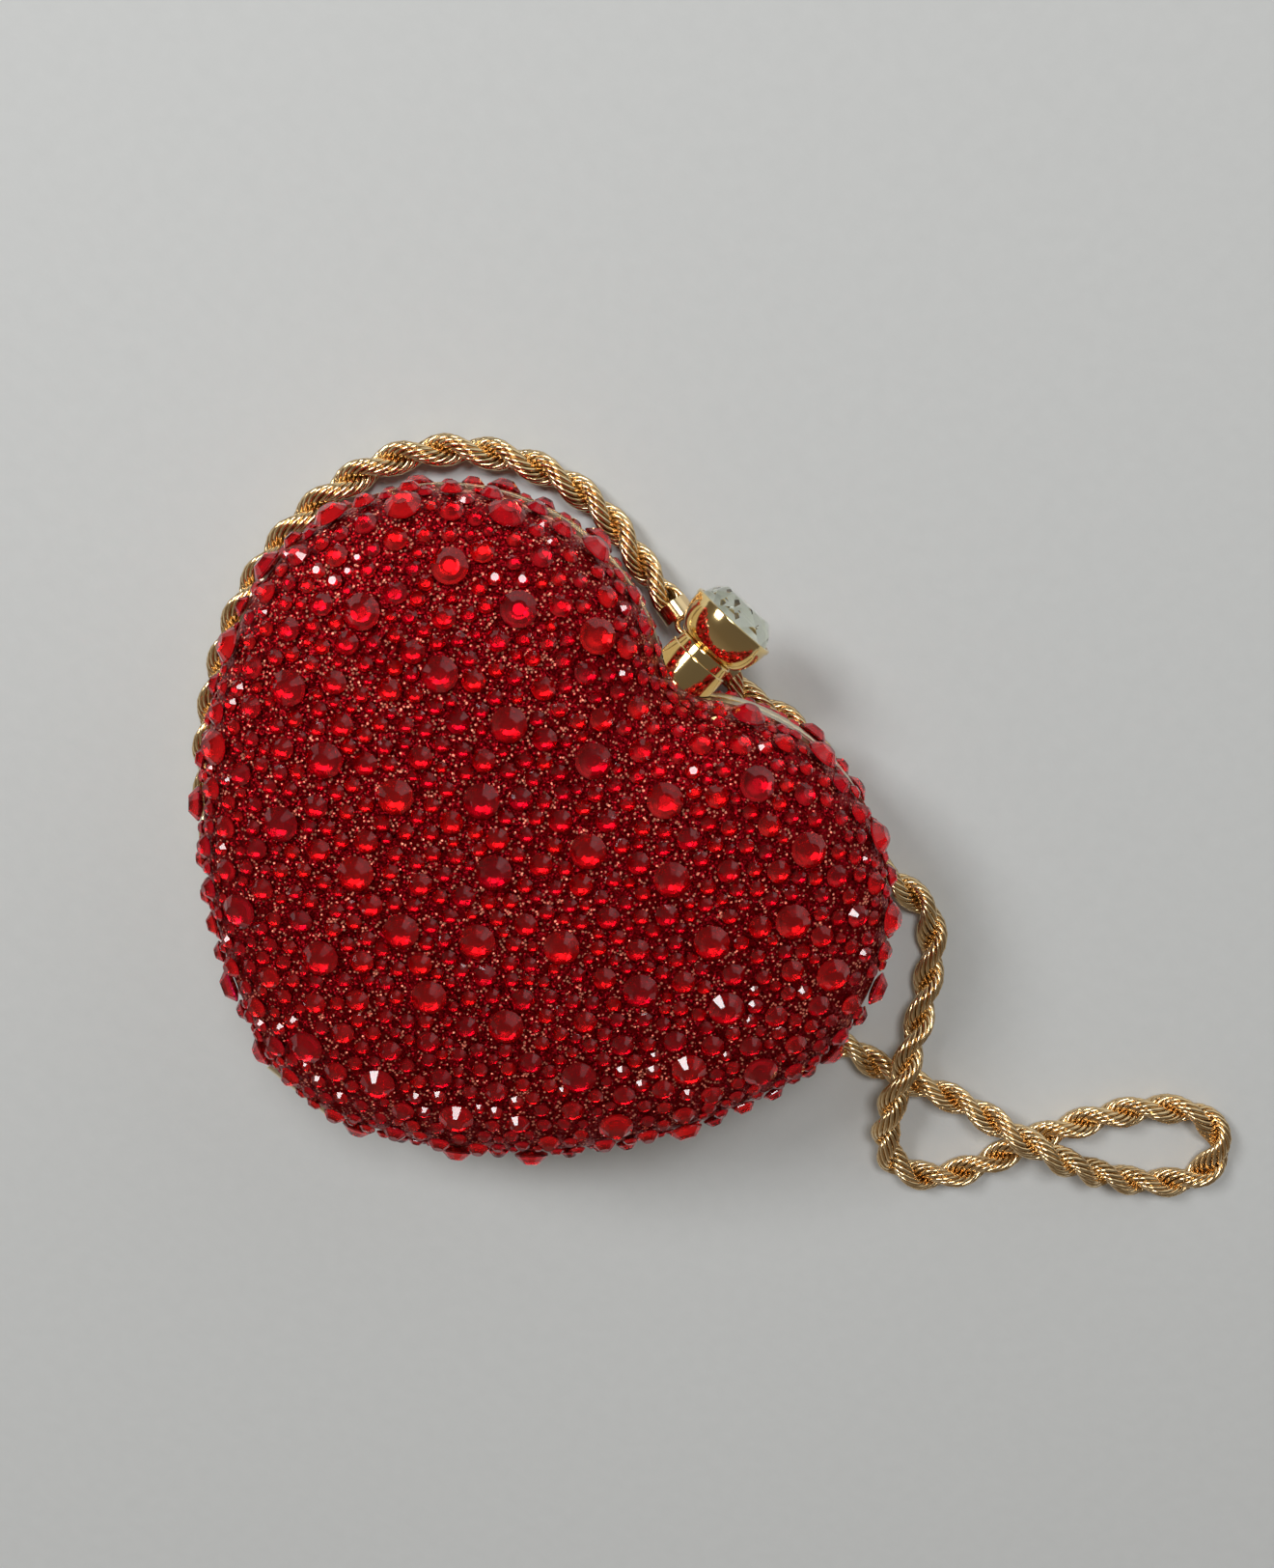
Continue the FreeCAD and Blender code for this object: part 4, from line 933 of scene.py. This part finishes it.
# %% [markdown]
# ## The knob's clear crystal
# The knob ends in one clear, domed crystal in a gold bowl.
# It has broad facets: two bands of triangles rise from the girdle to a wide table,
# and the silvered underside sends the light back up, which gives it its pale, faintly green white.

# %% Knob crystal
CLEAR_GLASS = finish_of("clear_crystal_glass", {
    "Base Color": colour(0.98, 1.0, 0.97), "Transmission Weight": 1.0, "Roughness": 0.01, "IOR": 1.54})
SILVER_FOIL = finish_of("silver_foil", {
    "Base Color": colour(0.95, 0.97, 0.90), "Metallic": 0.6, "Roughness": 0.55})
GEM_SIDES = 8
GEM_PROFILE = (
    (0.30, 0.0, 0), (0.92, 0.30, 0), (1.0, 0.37, 0), (1.0, 0.54, 0), (0.88, 0.80, 1), (0.64, 1.0, 0))
gem_low, gem_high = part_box("knob_crystal")
gem_radius = (gem_high.x - gem_low.x) / 2
gem_height = gem_high.y - gem_low.y
gem_rings = [(gem_radius * across, gem_height * up, shift) for across, up, shift in GEM_PROFILE]
gem = faceted("knob_gem", gem_rings, GEM_SIDES, foil_rings=3)
gem.data.materials.append(CLEAR_GLASS)
gem.data.materials.append(SILVER_FOIL)
for face, foil in zip(gem.data.polygons, gem.data.attributes["foil"].data):
    face.material_index = int(foil.value)
gem_place = Vector(((gem_low.x + gem_high.x) / 2, gem_low.y, (gem_low.z + gem_high.z) / 2))
gem.data.transform(Matrix.Translation(gem_place) @ Matrix.Rotation(-np.pi / 2, 4, "X"))
dress(gem, BODY_OF["knob_crystal"], "clear_crystal", "knob_crystal")

# %% [markdown]
# ## The lining
# Both halves are lined, which shows only when the purse is open.
# A red satin is a fair guess for an evening purse: a fine diagonal weave with a soft sheen.


# %% Satin lining
def satin(flow):
    place = flow.node("ShaderNodeTexCoord", output=3)
    weave = flow.node(
        "ShaderNodeTexWave", {"bands_direction": "DIAGONAL"},
        {"Vector": place, "Scale": 330.0, "Distortion": 0.8})
    slack = flow.node("ShaderNodeTexNoise", None, {"Vector": place, "Scale": 60.0, "Detail": 2.0})
    height = flow.node("ShaderNodeSeparateColor", None, {"Color": weave}) * 0.2 + slack
    bump = flow.node("ShaderNodeBump", None, {"Strength": 0.35, "Distance": 0.4 * MM, "Height": height})
    return {
        "Base Color": flow.blend(slack, colour(0.17, 0.003, 0.009), colour(0.34, 0.009, 0.018)),
        "Normal": bump,
    }


SATIN = finish_of("red_satin", {"Roughness": 0.34, "Sheen Weight": 0.12}, satin)
for half in ("front", "back"):
    lining = merged_copy(half + "_lining", half + "_satin_lining")
    lining.data.materials.append(SATIN)
    dress(lining, BODY_OF[half + "_lining"], "lining_satin", half + "_lining")

# %% [markdown]
# ## Floor and light
# The set is a plain pale floor under soft light. A light panel up to the left of the camera puts
# the bright crescents into the stones and casts the shadow, and one near the camera lights
# the white trapezoids on the crown facets. The light from all round is dim and a little warm,
# and pale only beyond the clasp, which is what the gold and the clear crystal mirror.


# %% Floor and lights
def floor_paint(flow):
    place = flow.node("ShaderNodeTexCoord", output=3)
    grain = flow.node("ShaderNodeTexNoise", None, {"Vector": place, "Scale": 260.0, "Detail": 4.0})
    bump = flow.node("ShaderNodeBump", None, {"Strength": 0.15, "Distance": 0.4 * MM, "Height": grain})
    paint = flow.blend(grain, colour(0.66, 0.68, 0.68), colour(0.70, 0.72, 0.72))
    return {"Base Color": paint, "Normal": bump}


FLOOR_HALF = 3.0
floor_mesh = bpy.data.meshes.new("floor")
floor_corners = [(-1, -1, 0), (1, -1, 0), (1, 1, 0), (-1, 1, 0)]
floor_mesh.from_pydata([Vector(corner) * FLOOR_HALF for corner in floor_corners], [], [(0, 1, 2, 3)])
floor_mesh.materials.append(finish_of("floor_paint", {"Roughness": 0.75}, floor_paint))
floor = bpy.data.objects.new("floor", floor_mesh)
bpy.context.scene.collection.objects.link(floor)

AIM = Vector((0.0, 0.0, 0.03))
LIGHT_DISTANCE = 1.7
PALE_SIDE = Vector((0.05, 0.97, 0.22)).normalized()


def soft_light(name, right, up, back, size, watts):
    """An area light placed by its direction in the camera's axes and aimed at the purse."""
    data = bpy.data.lights.new(name, "AREA")
    data.shape = "RECTANGLE"
    data.size, data.size_y = size
    data.energy = watts
    light = bpy.data.objects.new(name, data)
    way = (CAMERA_RIGHT * right + CAMERA_UP * up + CAMERA_BACK * back).normalized()
    light.location = AIM + way * LIGHT_DISTANCE
    light.rotation_mode = "QUATERNION"
    light.rotation_quaternion = way.to_track_quat("Z", "Y")
    light.visible_camera = False
    bpy.context.scene.collection.objects.link(light)


soft_light("main_panel", -0.66, 0.40, 1.0, (0.45, 0.55), 12.4)
soft_light("near_panel", 0.10, 0.26, 1.0, (0.48, 0.46), 9.7)

world = bpy.data.worlds.new("light_all_round")
world.use_nodes = True
surround = Flow(world.node_tree)
sight = surround.node("ShaderNodeTexCoord")
toward_clasp = surround.node(
    "ShaderNodeVectorMath", {"operation": "DOT_PRODUCT"}, {0: sight, 1: PALE_SIDE}, 1)
shades = surround.node("ShaderNodeValToRGB", {"stops": (
    (0.0, colour(0.26, 0.22, 0.185)), (0.36, colour(0.13, 0.108, 0.085)), (0.89, colour(0.10, 0.095, 0.09)),
    (0.98, colour(0.75, 0.78, 0.78)))}, {0: toward_clasp * 0.5 + 0.5})
world.node_tree.links.new(shades.socket, world.node_tree.nodes["Background"].inputs["Color"])
bpy.context.scene.world = world
